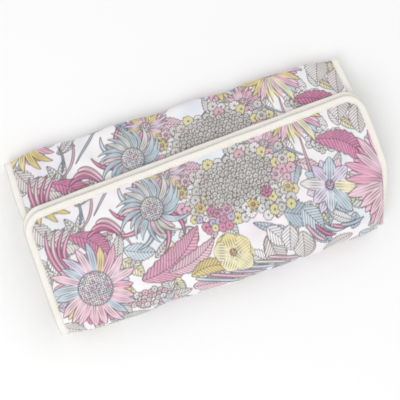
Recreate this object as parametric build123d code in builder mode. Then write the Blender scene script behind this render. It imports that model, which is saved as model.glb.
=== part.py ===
from build123d import *

"""Folding hanging toiletry bag, closed.

One long bound panel is folded like a letter: a back panel lies flat, a tall
spine and a front flap come up and over from the near edge, and a low spine and
a sloping top panel come over from the far edge and tuck under the flap.  The
flap and the back panel each carry a zipped pouch on their inner face, the top
panel carries a riveted swing hook, and a pair of hook-and-loop tapes holds the
flap down.

Frame: +Z up, X across the bag, the flap's fold towards -Y, the top fold
towards +Y.  The origin is the centre of the back panel's outer face.
Every panel has its own plane with local x across, local y running away from
its fold (v) and local z running inwards from its outer face (n).

Name endings: _L length, _W width, _T thickness along n, _R radius, _V place
along v, _N the n at which a layer starts.
"""

import os
from dataclasses import dataclass
from math import cos, radians, sin, tan

os.makedirs("parts", exist_ok=True)

# ---------------------------------------------------------------- dimensions
WIDTH = 300.0  # over the bindings
FOLD_SPAN = 148.0  # near fold to far fold, along Y
NEAR_RISE = 34.0  # height of the near spine, and of the flap's outer face
FAR_RISE = 12.0  # height of the far spine
FLAP_L = 103.0  # near fold to the flap's free edge
TOP_L = 60.0  # far fold to the top panel's free edge
TOP_SLOPE = radians(13.0)  # rise of the closed top panel towards the flap
FLAP_CORNER_R = 17.0
TOP_CORNER_R = 16.0

LAYER_GAP = 0.02  # between layers that lie on each other
POUCH_GAP = 0.05  # between a pouch wall or zip tape and what it meets

BIND = 0.6  # thickness of the folded binding tape
BIND_W = 5.6  # how far the binding laps onto each face
COVER_T = 0.68  # coated cover cloth
PAD_T = 1.6  # foam padding
LINING_T = 0.48  # lining cloth
PANEL_T = 2 * BIND + COVER_T + PAD_T + LINING_T + 2 * LAYER_GAP  # over the bindings
EDGE_INSET = BIND + 0.2  # cloth edge to the outside of the binding
MITRE = 0.3  # clearance of each mitred end at a fold

COVER_N = BIND + LAYER_GAP
PAD_N = COVER_N + COVER_T
LINING_N = PAD_N + PAD_T
LINING_FACE = LINING_N + LINING_T  # inner face of the lining

# pouches
POUCH_T = 0.6  # pouch cloth and clear film
POUCH_HALF = 138.0  # half the width of a pouch
ZIP_OPENING_HALF = 3.5  # zip line to the edge of the pouch's face

# zips
TAPE_W = 20.0
TAPE_T = 0.6
TAPE_HALF = POUCH_HALF - 6
COIL_GAP = 1.2  # slit between the two coil rows
COIL_W = 2.2
COIL_T = 1.2
COIL_CORNER_R = 0.8
ZIP_HALF = 128.0  # half the length of the coil
STOP_L, STOP_T, STOP_CORNER_R = 2.4, 1.5, 0.6
STOP_OFFSET = 2.0  # coil end to the stop's centre
SLIDER_L, SLIDER_W, SLIDER_T = 9.5, 8.4, 4.0
SLIDER_CORNER_R = 2.4
SLIDER_WALL = 1.0
SLIDER_RISE = 0.3  # slider's middle above the underside of the pouch's face
SLIDER_X = 116.0  # slider's place in X when the zip is closed
LUG_L, LUG_W, LUG_OFFSET = 3.2, 0.8, 1.7  # the two lugs that hold the pin
LUG_ABOVE_PIN = 0.8
PIN_R, EYE_R, PIN_H = 0.5, 1.0, 1.2  # puller's pin, eye and pin height
PIN_HALF, EYE_HALF = 1.5, 1.1  # half lengths of the pin and eye
PIN_CLEARANCE = 0.06
PULL_L, PULL_W, PULL_T = 17.0, 5.0, 1.0
PULL_OFFSET = 4.0  # pin to the start of the puller's length
PULL_CORNER_R = 1.6
NECK_L, NECK_W, NECK_OFFSET = 5.4, 2.2, 3.5  # between the eye and the puller
SLOT_L, SLOT_W, SLOT_R = 5.0, 2.2, 1.0  # slot in the puller
SLOT_PLACE = 0.72  # slot's centre, as a share of the puller's length

# hook-and-loop closure
CLOSURE_L = 110.0  # across the bag
CLOSURE_W = 7.5

nodes = []


def keep(label, builder):
    """Label a finished part and list it for export."""
    builder.part.label = label
    nodes.append(builder.part)


def strip(width, start_v, end_v, corner_r=0, mode=Mode.ADD):
    """Draw a rectangle centred on x = 0, its two corners at end_v rounded if asked."""
    with Locations((0, (start_v + end_v) / 2)):
        Rectangle(width, end_v - start_v, mode=mode)
    if corner_r:
        fillet(vertices().sort_by(Axis.Y)[-2:], corner_r)


# -------------------------------------------------------------------- panels
@dataclass
class Panel:
    """One stretch of the folded panel; its end is free where corner_r is set."""

    name: str
    face: Plane
    start_v: float
    end_v: float
    start_run: float  # how far the mitre runs back over the panel's thickness
    end_run: float
    corner_r: float = 0

    @property
    def side(self):
        """The panel seen from the side: local x runs along v, local y along n."""
        return Plane(origin=self.face.origin, x_dir=self.face.y_dir, z_dir=self.face.x_dir)

    @property
    def section(self):
        """Mitred side section as (v, n) points; the fold's axis is its outer corner."""
        start = self.start_v + MITRE
        end = self.end_v if self.corner_r else self.end_v - MITRE
        return [
            (start, 0),
            (end, 0),
            (end - self.end_run, PANEL_T),
            (start + self.start_run, PANEL_T),
        ]

    def outline(self, inset, end_inset_too=True):
        """Draw the outline, drawn in at the sides and at a free end."""
        if self.corner_r:
            strip(WIDTH - 2 * inset, self.start_v, self.end_v - inset, self.corner_r - inset)
        else:
            strip(WIDTH - 2 * inset, self.start_v, self.end_v)


SQUARE_RUN = PANEL_T  # mitre run at a right-angled fold
SLOPE_RUN = tan((radians(90) - TOP_SLOPE) / 2) * PANEL_T  # where the top panel slopes

back = Panel("back", Plane.XY, -FOLD_SPAN / 2, FOLD_SPAN / 2, SQUARE_RUN, SQUARE_RUN)
near_spine = Panel(
    "near_spine",
    Plane(origin=(0, -FOLD_SPAN / 2, 0), x_dir=(-1, 0, 0), z_dir=(0, 1, 0)),
    0, NEAR_RISE, SQUARE_RUN, SQUARE_RUN,
)
flap = Panel(
    "flap",
    Plane(origin=(0, -FOLD_SPAN / 2, NEAR_RISE), x_dir=(-1, 0, 0), z_dir=(0, 0, -1)),
    0, FLAP_L, SQUARE_RUN, 0, FLAP_CORNER_R,
)
far_spine = Panel(
    "far_spine",
    Plane(origin=(0, FOLD_SPAN / 2, 0), x_dir=(1, 0, 0), z_dir=(0, -1, 0)),
    0, FAR_RISE, SQUARE_RUN, SLOPE_RUN,
)
top = Panel(
    "top",
    Plane(
        origin=(0, FOLD_SPAN / 2, FAR_RISE),
        x_dir=(1, 0, 0),
        z_dir=(0, -sin(TOP_SLOPE), -cos(TOP_SLOPE)),
    ),
    0, TOP_L, SLOPE_RUN, 0, TOP_CORNER_R,
)

# name, start along n, thickness
COVER = ("cover", COVER_N, COVER_T)
PADDING = ("padding", PAD_N, PAD_T)
LINING = ("lining", LINING_N, LINING_T)


def build_sheet(panel, layer, start_n, thickness):
    """One cloth or foam layer of a panel, mitred at its folds."""
    with BuildPart() as sheet:
        with BuildSketch(panel.face.offset(start_n)):
            panel.outline(EDGE_INSET)
        extrude(amount=thickness)
        with BuildSketch(panel.side):
            Polygon(*panel.section, align=None)
        extrude(amount=WIDTH, both=True, mode=Mode.INTERSECT)
    keep(f"{panel.name}_{layer}", sheet)


def build_binding(panel):
    """Tape folded round both side edges, and round a free end where there is one."""
    with BuildPart() as binding:
        with BuildSketch(panel.face):
            if panel.corner_r:
                panel.outline(0)
                offset(amount=-BIND_W, kind=Kind.INTERSECTION, mode=Mode.SUBTRACT)
                # open the frame at the fold
                strip(WIDTH - 2 * BIND_W, -1, 2 * BIND_W + 1, mode=Mode.SUBTRACT)
            else:
                edge_x = (WIDTH - BIND_W) / 2
                middle_v = (panel.start_v + panel.end_v) / 2
                with Locations((edge_x, middle_v), (-edge_x, middle_v)):
                    Rectangle(BIND_W, panel.end_v - panel.start_v)
        extrude(amount=PANEL_T)
        with BuildSketch(panel.face.offset(BIND)):
            panel.outline(BIND)
        extrude(amount=PANEL_T - 2 * BIND, mode=Mode.SUBTRACT)
        with BuildSketch(panel.side):
            Polygon(*panel.section, align=None)
        extrude(amount=WIDTH, both=True, mode=Mode.INTERSECT)
    keep(f"{panel.name}_binding", binding)


# the far spine has no padding
for panel, layers in (
    (back, (COVER, PADDING, LINING)),
    (near_spine, (COVER, PADDING, LINING)),
    (flap, (COVER, PADDING, LINING)),
    (far_spine, (COVER, LINING)),
    (top, (COVER, PADDING, LINING)),
):
    for layer, start_n, thickness in layers:
        build_sheet(panel, layer, start_n, thickness)
    build_binding(panel)


# ---------------------------------------------------------------------- zips
def build_zip(name, face, zip_v, under_n, tape_w):
    """A closed zip along x at zip_v; under_n is the underside of the pouch's face."""
    tape_n = under_n - POUCH_GAP - TAPE_T
    coil_n = under_n - POUCH_GAP + LAYER_GAP
    plus_x = face.x_dir.X  # local direction of the bag's +X

    with BuildPart() as tape:
        with BuildSketch(face.offset(tape_n)):
            with Locations((0, zip_v)):
                Rectangle(2 * TAPE_HALF, tape_w)
                Rectangle(2 * POUCH_HALF, COIL_GAP, mode=Mode.SUBTRACT)
        extrude(amount=TAPE_T)
    keep(f"{name}_zip_tape", tape)

    with BuildPart() as coil:
        row_offset = (COIL_GAP + COIL_W) / 2
        with BuildSketch(face.offset(coil_n)):
            with Locations((0, zip_v + row_offset), (0, zip_v - row_offset)):
                RectangleRounded(2 * ZIP_HALF, COIL_W, COIL_CORNER_R)
        extrude(amount=COIL_T)
    keep(f"{name}_zip_coil", coil)

    with BuildPart() as stops:
        stop_x = ZIP_HALF + STOP_OFFSET
        with BuildSketch(face.offset(coil_n)):
            with Locations((stop_x, zip_v), (-stop_x, zip_v)):
                RectangleRounded(STOP_L, 2 * COIL_W + COIL_GAP, STOP_CORNER_R)
        extrude(amount=STOP_T)
    keep(f"{name}_zip_stops", stops)

    # Slider: two plates joined by a post that runs in the slit between the coils.
    slider_x = plus_x * SLIDER_X
    slider_n = under_n + SLIDER_RISE - SLIDER_T / 2
    slider_top = slider_n + SLIDER_T
    pin_n = slider_top + PIN_H
    pin_plane = Plane(
        origin=face.origin + face.x_dir * slider_x + face.y_dir * zip_v + face.z_dir * pin_n,
        x_dir=(-1, 0, 0),
        z_dir=(0, face.z_dir.Z, 0),
    )
    with BuildPart() as slider:
        with BuildSketch(face.offset(slider_n)):
            with Locations((slider_x, zip_v)):
                RectangleRounded(SLIDER_L, SLIDER_W, SLIDER_CORNER_R)
        extrude(amount=SLIDER_T)
        with BuildSketch(face.offset(slider_n + SLIDER_WALL)):
            with Locations((slider_x, zip_v)):
                Rectangle(SLIDER_L + 2, SLIDER_W + 2)
                Rectangle(SLIDER_L - 4, COIL_GAP - 0.5, mode=Mode.SUBTRACT)
        extrude(amount=SLIDER_T - 2 * SLIDER_WALL, mode=Mode.SUBTRACT)
        # two lugs and the pin that holds the puller
        with BuildSketch(face.offset(slider_top)):
            with Locations((slider_x, zip_v + LUG_OFFSET), (slider_x, zip_v - LUG_OFFSET)):
                Rectangle(LUG_L, LUG_W)
        extrude(amount=PIN_H + LUG_ABOVE_PIN)
        with BuildSketch(pin_plane):
            Circle(PIN_R)
        extrude(amount=PIN_HALF, both=True)
    keep(f"{name}_zip_slider", slider)

    # Puller, lying towards -X from the pin.
    pull_x = plus_x * (SLIDER_X - PULL_OFFSET - PULL_L / 2)
    neck_x = plus_x * (SLIDER_X - NECK_OFFSET)
    slot_x = plus_x * (SLIDER_X - PULL_OFFSET - PULL_L * SLOT_PLACE)
    with BuildPart() as puller:
        with BuildSketch(face.offset(pin_n - PULL_T / 2)):
            with Locations((pull_x, zip_v)):
                RectangleRounded(PULL_L - 1.0, PULL_W, PULL_CORNER_R)
            with Locations((neck_x, zip_v)):
                Rectangle(NECK_L, NECK_W)
            with Locations((slot_x, zip_v)):
                RectangleRounded(SLOT_L, SLOT_W, SLOT_R, mode=Mode.SUBTRACT)
        extrude(amount=PULL_T)
        with BuildSketch(pin_plane):
            Circle(EYE_R)
        extrude(amount=EYE_HALF, both=True)
        with BuildSketch(pin_plane):
            Circle(PIN_R + PIN_CLEARANCE)
        extrude(amount=2, both=True, mode=Mode.SUBTRACT)
    keep(f"{name}_zip_puller", puller)


# ========================================================== flap pouch's base
# A second bound sheet under the flap, a little larger.
BASE_N = PANEL_T + 0.2
BASE_SHEET_T = 1.2
BASE_T = BASE_SHEET_T + 2 * BIND
BASE_PROUD = 4.5  # how far the bound base shows past the flap's edge
BASE_HALF = WIDTH / 2 + 1.0
BASE_START_V = 6.0
BASE_END_V = FLAP_L + BASE_PROUD
BASE_FACE = BASE_N + BASE_T  # inner face of the base's binding


def base_outline(inset):
    """Draw the base's outline, drawn in on all four sides."""
    strip(
        2 * (BASE_HALF - inset), BASE_START_V + inset, BASE_END_V - inset,
        FLAP_CORNER_R - inset,
    )


with BuildPart() as flap_pouch_base:
    with BuildSketch(flap.face.offset(BASE_N + BIND)):
        base_outline(EDGE_INSET)
    extrude(amount=BASE_SHEET_T)
keep("flap_pouch_base", flap_pouch_base)

with BuildPart() as flap_pouch_binding:
    with BuildSketch(flap.face.offset(BASE_N)):
        base_outline(0)
        offset(amount=-BIND_W, kind=Kind.INTERSECTION, mode=Mode.SUBTRACT)
    extrude(amount=BASE_T)
    with BuildSketch(flap.face.offset(BASE_N + BIND)):
        base_outline(BIND)
    extrude(amount=BASE_SHEET_T, mode=Mode.SUBTRACT)
keep("flap_pouch_binding", flap_pouch_binding)

# ================================================================ flap pouch
# A four-sided gusset with a face each side of the zip.
FLAP_POUCH_START_V, FLAP_POUCH_END_V = 8.0, 72.0
FLAP_POUCH_L = FLAP_POUCH_END_V - FLAP_POUCH_START_V
FLAP_POUCH_MID_V = (FLAP_POUCH_START_V + FLAP_POUCH_END_V) / 2
FLAP_POUCH_CORNER_R = 8.0
FLAP_POUCH_UNDER = 14.5 - POUCH_T  # underside of the pouch's face
FLAP_ZIP_V = 20.0
GUSSET_N = BASE_FACE + POUCH_GAP

with BuildPart() as flap_pouch_gusset:
    with BuildSketch(flap.face.offset(GUSSET_N)):
        with Locations((0, FLAP_POUCH_MID_V)):
            RectangleRounded(2 * POUCH_HALF, FLAP_POUCH_L, FLAP_POUCH_CORNER_R)
            RectangleRounded(
                2 * (POUCH_HALF - POUCH_T),
                FLAP_POUCH_L - 2 * POUCH_T,
                FLAP_POUCH_CORNER_R - POUCH_T,
                mode=Mode.SUBTRACT,
            )
    extrude(amount=FLAP_POUCH_UNDER - GUSSET_N)
keep("flap_pouch_gusset", flap_pouch_gusset)

# Each face is the whole outline less a band from cut_start to cut_end.
for label, cut_start, cut_end in (
    ("flap_pouch_window", FLAP_POUCH_START_V - 10, FLAP_ZIP_V + ZIP_OPENING_HALF),
    ("flap_pouch_header", FLAP_ZIP_V - ZIP_OPENING_HALF, FLAP_ZIP_V - ZIP_OPENING_HALF + 60),
):
    with BuildPart() as pouch_face:
        with BuildSketch(flap.face.offset(FLAP_POUCH_UNDER)):
            with Locations((0, FLAP_POUCH_MID_V)):
                RectangleRounded(2 * POUCH_HALF, FLAP_POUCH_L, FLAP_POUCH_CORNER_R)
            strip(2 * POUCH_HALF + 4, cut_start, cut_end, mode=Mode.SUBTRACT)
        extrude(amount=POUCH_T)
    keep(label, pouch_face)

build_zip("flap", flap.face, FLAP_ZIP_V, FLAP_POUCH_UNDER, TAPE_W)

# =================================================================== closure
HOOK_TAPE_END_V = FLAP_L - 2.5
HOOK_TAPE_T = 1.2
LOOP_TAPE_V = 51.0  # the loop tape's middle
LOOP_TAPE_RISE = 1.1  # its outer face above the top panel's binding
LOOP_FOOT_RISE = 0.1  # overlap of the foot with the tape's underside
LOOP_FOOT_V, LOOP_FOOT_W = LOOP_TAPE_V - 1.0, 3.0

# Hook tape on the base, near its free edge.
with BuildPart() as closure_hook_tape:
    with BuildSketch(flap.face.offset(BASE_FACE + LAYER_GAP)):
        strip(CLOSURE_L, HOOK_TAPE_END_V - CLOSURE_W, HOOK_TAPE_END_V)
    extrude(amount=HOOK_TAPE_T)
keep("closure_hook_tape", closure_hook_tape)

# Loop tape on the outer face of the top panel, under the flap's edge.
with BuildPart() as closure_loop_tape:
    with BuildSketch(top.face.offset(-LOOP_TAPE_RISE)):
        with Locations((0, LOOP_TAPE_V)):
            Rectangle(CLOSURE_L, CLOSURE_W)
    extrude(amount=LOOP_TAPE_RISE - LAYER_GAP)
    # foot that carries the tape down to the cover between the bindings
    with BuildSketch(top.face.offset(-LOOP_FOOT_RISE)):
        with Locations((0, LOOP_FOOT_V)):
            Rectangle(CLOSURE_L, LOOP_FOOT_W)
    extrude(amount=COVER_N + LOOP_FOOT_RISE)
keep("closure_loop_tape", closure_loop_tape)

# ============================================================== hanging hook
# Stacked on the top panel's lining: rivet flange, webbing tab, base plate, hook, head.
PIVOT_V = 42.0  # rivet's place along the top panel
RIVET_R = 2.0
RIVET_HOLE_R = RIVET_R + 0.05  # in the tab and the base plate
FLANGE_R, FLANGE_T = 4.0, 0.4
HEAD_R, HEAD_RIM_T, HEAD_BEVEL_T = 4.4, 0.5, 0.6

TAB_W, TAB_L, TAB_T, TAB_CORNER_R = 24, 34, 1.16, 2
TAB_V = 33.0  # the tab's middle
PLATE_W, PLATE_L, PLATE_T, PLATE_CORNER_R = 18, 14, 0.8, 3

HOOK_IN_R, HOOK_OUT_R = 12.0, 16.6
HOOK_BAND = HOOK_OUT_R - HOOK_IN_R
HOOK_T = 3.0
HOOK_N = 6.0
HOOK_REACH = 36.0  # rivet to the hook's centre
HOOK_EYE_R = 6.0
HOOK_BORE_R = 2.06
MOUTH_SIZE = HOOK_OUT_R + 1
MOUTH_X = HOOK_REACH - HOOK_OUT_R / 2 - 1.6
MOUTH_V = PIVOT_V - HOOK_OUT_R / 2 - 2.8
ARM_L = HOOK_REACH - HOOK_IN_R - 1.2

FLANGE_N = LINING_FACE + LAYER_GAP
SHANK_N = FLANGE_N + FLANGE_T
TAB_N = SHANK_N + LAYER_GAP
PLATE_N = TAB_N + TAB_T + 2 * LAYER_GAP
HEAD_N = HOOK_N + HOOK_T + 0.1

with BuildPart() as hanger_tab:
    with BuildSketch(top.face.offset(TAB_N)):
        with Locations((0, TAB_V)):
            RectangleRounded(TAB_W, TAB_L, TAB_CORNER_R)
        with Locations((0, PIVOT_V)):
            Circle(RIVET_HOLE_R, mode=Mode.SUBTRACT)
    extrude(amount=TAB_T)
keep("hanger_tab", hanger_tab)

with BuildPart() as hook_base_plate:
    with BuildSketch(top.face.offset(PLATE_N)):
        with Locations((0, PIVOT_V)):
            RectangleRounded(PLATE_W, PLATE_L, PLATE_CORNER_R)
            Circle(RIVET_HOLE_R, mode=Mode.SUBTRACT)
    extrude(amount=PLATE_T)
keep("hook_base_plate", hook_base_plate)

# Back flange under the webbing, shank, and bevelled head over the hook's eye.
with BuildPart() as hook_rivet:
    for start_n, radius, thickness, taper in (
        (FLANGE_N, FLANGE_R, FLANGE_T, 0),
        (SHANK_N, RIVET_R, HEAD_N - SHANK_N, 0),
        (HEAD_N, HEAD_R, HEAD_RIM_T, 0),
        (HEAD_N + HEAD_RIM_T, HEAD_R, HEAD_BEVEL_T, 45),
    ):
        with BuildSketch(top.face.offset(start_n)):
            with Locations((0, PIVOT_V)):
                Circle(radius)
        extrude(amount=thickness, taper=taper)
keep("hook_rivet", hook_rivet)

# Swing hook, stowed across the panel: eye on the rivet, round hook to +X.
with BuildPart() as hanging_hook:
    with BuildSketch(top.face.offset(HOOK_N)):
        with Locations((HOOK_REACH, PIVOT_V)):
            Circle(HOOK_OUT_R)
            Circle(HOOK_IN_R, mode=Mode.SUBTRACT)
        # mouth: the quarter on the rivet's side and towards the fold
        with Locations((MOUTH_X, MOUTH_V)):
            Rectangle(MOUTH_SIZE, MOUTH_SIZE, mode=Mode.SUBTRACT)
        # rounded tip
        with Locations((HOOK_REACH - 0.6, PIVOT_V - (HOOK_IN_R + HOOK_OUT_R) / 2)):
            Circle(HOOK_BAND / 2)
        # arm from the eye to the round hook
        with Locations(((HOOK_REACH - HOOK_IN_R) / 2, PIVOT_V)):
            Rectangle(ARM_L, HOOK_BAND + 0.6)
        with Locations((0, PIVOT_V)):
            Circle(HOOK_EYE_R)
            Circle(HOOK_BORE_R, mode=Mode.SUBTRACT)
    extrude(amount=HOOK_T)
keep("hanging_hook", hanging_hook)

# ================================================================ main pouch
# On the back panel: deep near the near fold, then sloping down to a shallow part.
MAIN_Y0, MAIN_Y1 = -68.0, 66.0
SLOPE_Y0, SLOPE_Y1 = 0.0, 32.0
DEEP_Z = 14.5
SHALLOW_Z = 6.9
DEEP_UNDER = DEEP_Z - POUCH_T  # undersides of the pouch's face
SHALLOW_UNDER = SHALLOW_Z - POUCH_T
FOOT_Z = PANEL_T + POUCH_GAP  # where the gusset starts
FAR_TOP_Y = MAIN_Y1 - 2  # top of the leaning far wall
FAR_WALL_T = POUCH_T + 0.1  # the far wall's thickness along Y
MAIN_ZIP_Y = 56.0

with BuildPart() as main_pouch_gusset:
    # end walls, at -X and +X
    for wall_x in (-POUCH_HALF, POUCH_HALF - POUCH_T):
        with BuildSketch(Plane(origin=(wall_x, 0, 0), x_dir=(0, 1, 0), z_dir=(1, 0, 0))):
            Polygon(
                (MAIN_Y0, FOOT_Z),
                (MAIN_Y0, DEEP_UNDER),
                (SLOPE_Y0, DEEP_UNDER),
                (SLOPE_Y1, SHALLOW_UNDER),
                (FAR_TOP_Y, SHALLOW_UNDER),
                (MAIN_Y1, FOOT_Z),
                align=None,
            )
        extrude(amount=POUCH_T)
    # wall at the near fold and wall at the far fold
    with BuildSketch(back.side):
        Polygon(
            (MAIN_Y0, FOOT_Z),
            (MAIN_Y0 + POUCH_T, FOOT_Z),
            (MAIN_Y0 + POUCH_T, DEEP_UNDER),
            (MAIN_Y0, DEEP_UNDER),
            align=None,
        )
        Polygon(
            (MAIN_Y1 - FAR_WALL_T, FOOT_Z),
            (MAIN_Y1, FOOT_Z),
            (FAR_TOP_Y, SHALLOW_UNDER),
            (FAR_TOP_Y - FAR_WALL_T, SHALLOW_UNDER),
            align=None,
        )
    extrude(amount=POUCH_HALF, both=True)
keep("main_pouch_gusset", main_pouch_gusset)

WINDOW_END_Y = MAIN_ZIP_Y - ZIP_OPENING_HALF
with BuildPart() as main_pouch_window:
    with BuildSketch(back.side):
        Polygon(
            (MAIN_Y0, DEEP_UNDER + LAYER_GAP),
            (MAIN_Y0, DEEP_Z),
            (SLOPE_Y0, DEEP_Z),
            (SLOPE_Y1, SHALLOW_Z),
            (WINDOW_END_Y, SHALLOW_Z),
            (WINDOW_END_Y, SHALLOW_UNDER + LAYER_GAP),
            (SLOPE_Y1, SHALLOW_UNDER + LAYER_GAP),
            (SLOPE_Y0, DEEP_UNDER + LAYER_GAP),
            align=None,
        )
    extrude(amount=POUCH_HALF, both=True)
keep("main_pouch_window", main_pouch_window)

with BuildPart() as main_pouch_header:
    with BuildSketch(back.face.offset(SHALLOW_UNDER + LAYER_GAP)):
        strip(2 * POUCH_HALF, MAIN_ZIP_Y + ZIP_OPENING_HALF, FAR_TOP_Y)
    extrude(amount=POUCH_T - LAYER_GAP)
keep("main_pouch_header", main_pouch_header)

# Flat frame on the lining, round the gusset's foot.
FRAME_OUTSIDE = 2.0  # how far it reaches outside the pouch
FRAME_INSIDE = 2.5  # and inside it
with BuildPart() as main_pouch_binding:
    with BuildSketch(back.face.offset(LINING_FACE + LAYER_GAP)):
        for reach, mode in ((FRAME_OUTSIDE, Mode.ADD), (-FRAME_INSIDE, Mode.SUBTRACT)):
            strip(2 * (POUCH_HALF + reach), MAIN_Y0 - reach, MAIN_Y1 + reach, mode=mode)
    extrude(amount=PANEL_T - LINING_FACE)
keep("main_pouch_binding", main_pouch_binding)

build_zip("main", back.face, MAIN_ZIP_Y, SHALLOW_UNDER, TAPE_W - 6)

# -------------------------------------------------------------------- export
for node in nodes:
    export_step(node, f"parts/{node.label}.step")
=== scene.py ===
# A padded, printed fabric bag, folded shut, with two clear zipped pouches and a hanging hook.
# The bag is one strip folded four times. Its back lies flat on z = 0; the near fold is at -y and
# the far fold at +y. The flap comes back over from the near fold, and the shorter top panel
# slopes up from the far fold. x runs across the bag. Lengths are in millimetres until scaled
# by MM. Points of the strip are given as (x, run, depth): run is measured along the strip from
# the flap's free edge, depth inwards from the strip's outer face.
import math

import bmesh
import bpy
import numpy as np
from mathutils import Matrix, Vector


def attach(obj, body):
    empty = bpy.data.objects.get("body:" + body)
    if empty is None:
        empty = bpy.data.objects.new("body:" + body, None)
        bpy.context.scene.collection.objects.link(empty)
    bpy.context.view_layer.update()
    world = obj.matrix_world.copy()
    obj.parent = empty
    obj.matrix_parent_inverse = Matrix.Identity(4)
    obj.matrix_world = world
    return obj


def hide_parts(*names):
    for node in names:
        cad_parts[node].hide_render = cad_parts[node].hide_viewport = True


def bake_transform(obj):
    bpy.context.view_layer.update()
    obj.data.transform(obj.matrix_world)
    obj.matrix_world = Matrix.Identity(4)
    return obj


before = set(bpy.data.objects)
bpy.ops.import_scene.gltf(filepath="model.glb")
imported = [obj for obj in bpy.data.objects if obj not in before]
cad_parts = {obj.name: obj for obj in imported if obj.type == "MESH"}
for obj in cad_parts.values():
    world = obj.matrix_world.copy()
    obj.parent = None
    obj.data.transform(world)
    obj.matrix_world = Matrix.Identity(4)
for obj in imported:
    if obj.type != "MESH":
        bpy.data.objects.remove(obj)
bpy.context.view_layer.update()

MM = 0.001
scene = bpy.context.scene

# ------------------------------------------------------------------ the strip
WIDTH = 300.0
FLAP, NEAR_SPINE, BACK, FAR_SPINE, TOP = 103.0, 34.0, 148.0, 12.0, 60.0  # lengths along it
SLOPE = math.radians(13.0)  # of the top panel
HALF_WIDTH, HALF_BACK = WIDTH / 2, BACK / 2

# runs at the four folds and at the top panel's free edge
NEAR_TOP = FLAP
NEAR_FOOT = NEAR_TOP + NEAR_SPINE
FAR_FOOT = NEAR_FOOT + BACK
FAR_TOP = FAR_FOOT + FAR_SPINE
END = FAR_TOP + TOP

FLAP_RADIUS, TOP_RADIUS = 17.0, 16.0  # rounded corners of the two free ends

FOLDS = [
    # run, (y, z), radius, incoming direction, normal angle before, turn
    (NEAR_TOP, (-HALF_BACK, NEAR_SPINE), 13.5, (-1.0, 0.0), -90.0, 90.0),
    (NEAR_FOOT, (-HALF_BACK, 0.0), 13.5, (0.0, -1.0), 0.0, 90.0),
    (FAR_FOOT, (HALF_BACK, 0.0), 5.2, (1.0, 0.0), 90.0, 90.0),
    (FAR_TOP, (HALF_BACK, FAR_SPINE), 5.0, (0.0, 1.0), 180.0, 77.0),
]
LEGS = [
    # first run, last run, (y, z) of its fold, direction, run at that fold, normal angle
    (-20.0, NEAR_TOP, (-HALF_BACK, NEAR_SPINE), (-1.0, 0.0), NEAR_TOP, -90.0),
    (NEAR_TOP, NEAR_FOOT, (-HALF_BACK, NEAR_SPINE), (0.0, -1.0), NEAR_TOP, 0.0),
    (NEAR_FOOT, FAR_FOOT, (-HALF_BACK, 0.0), (1.0, 0.0), NEAR_FOOT, 90.0),
    (FAR_FOOT, FAR_TOP, (HALF_BACK, 0.0), (0.0, 1.0), FAR_FOOT, 180.0),
    (FAR_TOP, END + 20, (HALF_BACK, FAR_SPINE), (-math.cos(SLOPE), math.sin(SLOPE)),
     FAR_TOP, 257.0),
]
CUTS = [
    # The strip is built in four pieces, each holding one fold:
    # tag, first run, last run, the two bodies it bends between,
    # then the bend outside and inside as (y, z) centre, direction and reach
    ("flap", 0.0, NEAR_TOP + NEAR_SPINE / 2, ("near_spine", "flap"),
     ((-HALF_BACK, NEAR_SPINE), (0.7071, 0.7071), 8.5),
     ((-HALF_BACK, NEAR_SPINE), (0.7071, 0.7071), 8.0)),
    ("near", NEAR_TOP + NEAR_SPINE / 2, NEAR_FOOT + BACK / 2, ("back", "near_spine"),
     ((-HALF_BACK, 0.0), (-0.7071, 0.7071), 8.5),
     ((-HALF_BACK, 0.0), (-0.7071, 0.7071), 8.0)),
    ("far", NEAR_FOOT + BACK / 2, FAR_FOOT + FAR_SPINE / 2, ("back", "far_spine"),
     ((HALF_BACK, 0.0), (0.7071, 0.7071), 2.9),
     ((70.4, 3.6), (0.35, 0.9367), 1.4)),
    ("top", FAR_FOOT + FAR_SPINE / 2, END, ("far_spine", "top_panel"),
     ((HALF_BACK, FAR_SPINE), (-0.6226, 0.7826), 3.4),
     ((70.4, 9.1), (-0.35, 0.9367), 1.9)),
]


def ss(start, end, value):
    """Smooth step from 0 at start to 1 at end."""
    t = np.clip((value - start) / (end - start), 0, 1)
    return t * t * (3 - 2 * t)


def band(value, rise, rise_end, fall, fall_end):
    """1 between two smooth steps, 0 outside them."""
    return ss(rise, rise_end, value) * (1 - ss(fall, fall_end, value))


def on_back(run):
    return band(run, 128, 139, 283, 290)


def assign(target, **values):
    for key, value in values.items():
        setattr(target, key, value)


def profile(run):
    """Outer curve (y, z) and inward normal (ny, nz) at runs along the strip."""
    run = np.asarray(run, float)
    y, z, normal = (np.zeros_like(run) for _ in range(3))
    for first, last, fold, heading, fold_run, angle in LEGS:
        on = (run >= first) & (run <= last)
        y[on] = fold[0] + heading[0] * (run[on] - fold_run)
        z[on] = fold[1] + heading[1] * (run[on] - fold_run)
        normal[on] = angle
    for fold_run, fold, radius, heading, angle, turn in FOLDS:
        reach = radius * math.tan(math.radians(turn) / 2)
        on = (run > fold_run - reach) & (run < fold_run + reach)
        share = (run[on] - (fold_run - reach)) / (2 * reach)
        centre_y = fold[0] - heading[0] * reach + math.cos(math.radians(angle)) * radius
        centre_z = fold[1] - heading[1] * reach + math.sin(math.radians(angle)) * radius
        turned = np.radians(angle + share * turn)
        y[on] = centre_y - radius * np.cos(turned)
        z[on] = centre_z - radius * np.sin(turned)
        normal[on] = np.degrees(turned)
    normal = np.radians(normal)
    return y, z, np.cos(normal), np.sin(normal)


# sideways shift of the near fold's foot: a curve through offsets at four x places
FOOT_SHIFT = np.polyfit([-150, -48, 54, 146], [1.2, -2.5, -3.4, -4.4], 2)


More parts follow.
